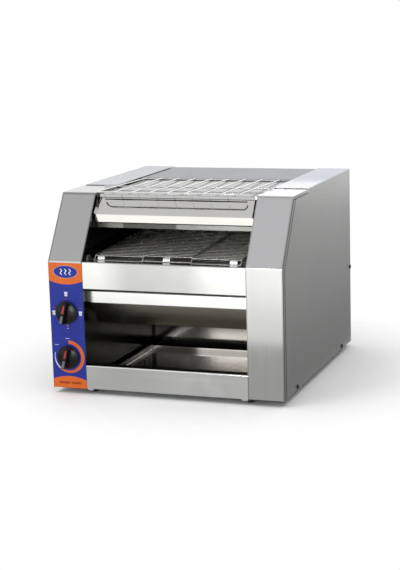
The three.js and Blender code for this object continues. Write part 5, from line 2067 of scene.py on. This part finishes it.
@dataclass(frozen=True)
class Card:
    """A glowing card seen only in reflections; its levels are (share of its width, glow)."""

    name: str
    centre: Triple
    turn: Triple
    size: Pair
    levels: tuple[Pair, ...]
    colour: Colour = WHITE

    def build(self) -> Object:
        """Makes the card; its light follows its levels from its -X edge to its +X edge.

        Returns:
            The card.
        """
        spin = Matrix.Translation(self.centre) @ Euler(tuple(math.radians(a) for a in self.turn)).to_matrix().to_4x4()
        wide, high = self.size
        corners = ((-1, -1), (1, -1), (1, 1), (-1, 1))
        data = bpy.data.meshes.new(self.name)
        data.from_pydata([spin @ Vector((x * wide / 2, y * high / 2, 0)) for x, y in corners], [], [(0, 1, 2, 3)])
        layer = data.attributes.new(SHARE, "FLOAT", "POINT")
        for value, (x, _) in zip(layer.data, corners):
            value.value = (x + 1) / 2
        data.materials.append(self.material())
        made = linked(self.name, data)
        for way in ("camera", "diffuse", "shadow", "transmission", "volume_scatter"):
            setattr(made, f"visible_{way}", False)
        return made

    def material(self) -> bpy.types.Material:
        """The card's light.

        Returns:
            The material.
        """
        made = bpy.data.materials.new(self.name)
        made.use_nodes = True
        graph = Graph(made.node_tree)
        share, glow = graph.mark(SHARE), self.levels[0][1]
        for (start, low), (end, high) in zip(self.levels, self.levels[1:]):
            glow = glow + share.ramp(start, end, 0.0, high - low)
        light = graph.out("ShaderNodeEmission", Color=self.colour, Strength=glow)
        graph.node("ShaderNodeOutputMaterial", Surface=light)
        return made


@dataclass(frozen=True)
class Lamp:
    """A soft round lamp aimed at a point, unseen in reflections."""

    name: str
    place: Triple
    watts: float
    size: float
    aim: Triple = (0.0, 0.0, 0.2)

    def build(self) -> Object:
        """Makes the lamp.

        Returns:
            The lamp.
        """
        data = bpy.data.lights.new(self.name, "AREA")
        data.energy, data.size, data.shape = self.watts, self.size, "DISK"
        made = linked(self.name, data)
        made.visible_glossy = False
        way = (Vector(self.aim) - Vector(self.place)).to_track_quat("-Z", "Y")
        made.matrix_world = Matrix.Translation(self.place) @ way.to_matrix().to_4x4()
        return made


@dataclass(frozen=True)
class Studio:
    """Floor, backdrop, lamps, reflection cards and the camera."""

    LAMPS = (Lamp("key", (-1.6, -1.8, 2.2), 22.0, 1.8), Lamp("overhead", (0.0, 0.0, 3.2), 40.0, 4.0))
    # What the upright sheets, the knobs and the back mirror.
    CARDS = (
        Card("front card", (-0.35, -1.462, 0.001), (0.0, 0.0, -90.0), (2.4, 3.2),
             ((0.0, 0.38), (0.165, 0.38), (0.205, 0.80), (0.50, 1.12)), (1.0, 1.0, 0.965)),
        Card("right card", (1.44, 1.0, 0.001), (0.0, 0.0, 0.0), (2.4, 3.2), ((0.0, 0.34), (0.22, 0.58))),
        Card("knob card", (-0.16, -2.13, 0.29), (90.0, 0.0, 0.0), (0.52, 0.30), ((0.0, 22.0), (1.0, 22.0))),
        Card("rear card", (-0.6, 3.2, 0.9), (90.0, 0.0, 0.0), (5.0, 1.5), ((0.0, 1.05), (1.0, 1.05))))

    azimuth: float = 20.09
    elevation: float = 11.11
    roll: float = -1.64
    eye: Triple = (0.9671, -2.68775, 0.7324)
    lens: float = 92.02
    sensor: float = 36.0
    floor: float = 2.2
    zenith: float = 0.60
    zenith_start: float = 0.75
    slope_light: float = 0.60
    slope_span: Pair = (0.05, math.sin(math.radians(48)))

    def build(self) -> None:
        """Sets up everything that isn't the object."""
        log.info("studio")
        self.world()
        made = [self.ground(), *(thing.build() for thing in (*self.LAMPS, *self.CARDS))]
        self.camera()

    def ground(self) -> Object:
        """A disc on which the object stands, with its top at height 0.

        Returns:
            The disc.
        """
        bm = bmesh.new()
        bmesh.ops.create_circle(bm, cap_ends=True, radius=self.floor, segments=96)
        data = as_mesh(bm, "floor")
        data.materials.append(FloorPaint("floor paint", (0.95, 0.95, 0.95), 0.85).material())
        return linked("floor", data)

    def world(self) -> None:
        """White for the camera; for all else a soft sky that is brightest at and under the horizon."""
        world = bpy.data.worlds.new("backdrop")
        bpy.context.scene.world = world
        world.use_nodes = True
        graph = Graph(world.node_tree)
        _, _, rise = graph.out("ShaderNodeTexCoord", "Generated").parts()
        level = rise.ramp(*self.slope_span, 1.0, self.slope_light)
        level = level.least(rise.ramp(self.zenith_start, 1.0, 1.0, self.zenith))
        sky = graph.out("ShaderNodeBackground", Color=WHITE, Strength=level)
        white = graph.out("ShaderNodeBackground", Color=WHITE, Strength=1.0)
        seen = graph.out("ShaderNodeLightPath", "Is Camera Ray")
        graph.node("ShaderNodeOutputWorld", Surface=graph.mixed(seen, sky, white))

    def camera(self) -> Object:
        """The camera that was fitted to the photograph.

        Returns:
            The camera.
        """
        data = bpy.data.cameras.new("camera")
        data.lens, data.sensor_width, data.sensor_fit = self.lens, self.sensor, "AUTO"
        data.dof.use_dof = False
        made = linked("camera", data)
        turn, rise, roll = (math.radians(a) for a in (self.azimuth, self.elevation, self.roll))
        back = Vector((math.sin(turn) * math.cos(rise), -math.cos(turn) * math.cos(rise), math.sin(rise)))
        right = UPWARD.cross(back).normalized()
        up = back.cross(right)
        across = right * math.cos(roll) + up * math.sin(roll)
        above = up * math.cos(roll) - right * math.sin(roll)
        made.matrix_world = Matrix.Translation(self.eye) @ Matrix((across, above, back)).transposed().to_4x4()
        bpy.context.scene.camera = made
        return made


def main() -> None:
    """Builds the object in order, then the studio, and sets the view transform."""
    logging.basicConfig(level=logging.INFO, format="%(name)s: %(message)s")
    for part in (Casing(), Hood(), Tray(), Conveyor(), Heaters(), Drive(), Controls(), Rack(), Rear()):
        part.build()
    Studio().build()
    bpy.context.scene.view_settings.view_transform = "Standard"


if __name__ == "__main__":
    main()
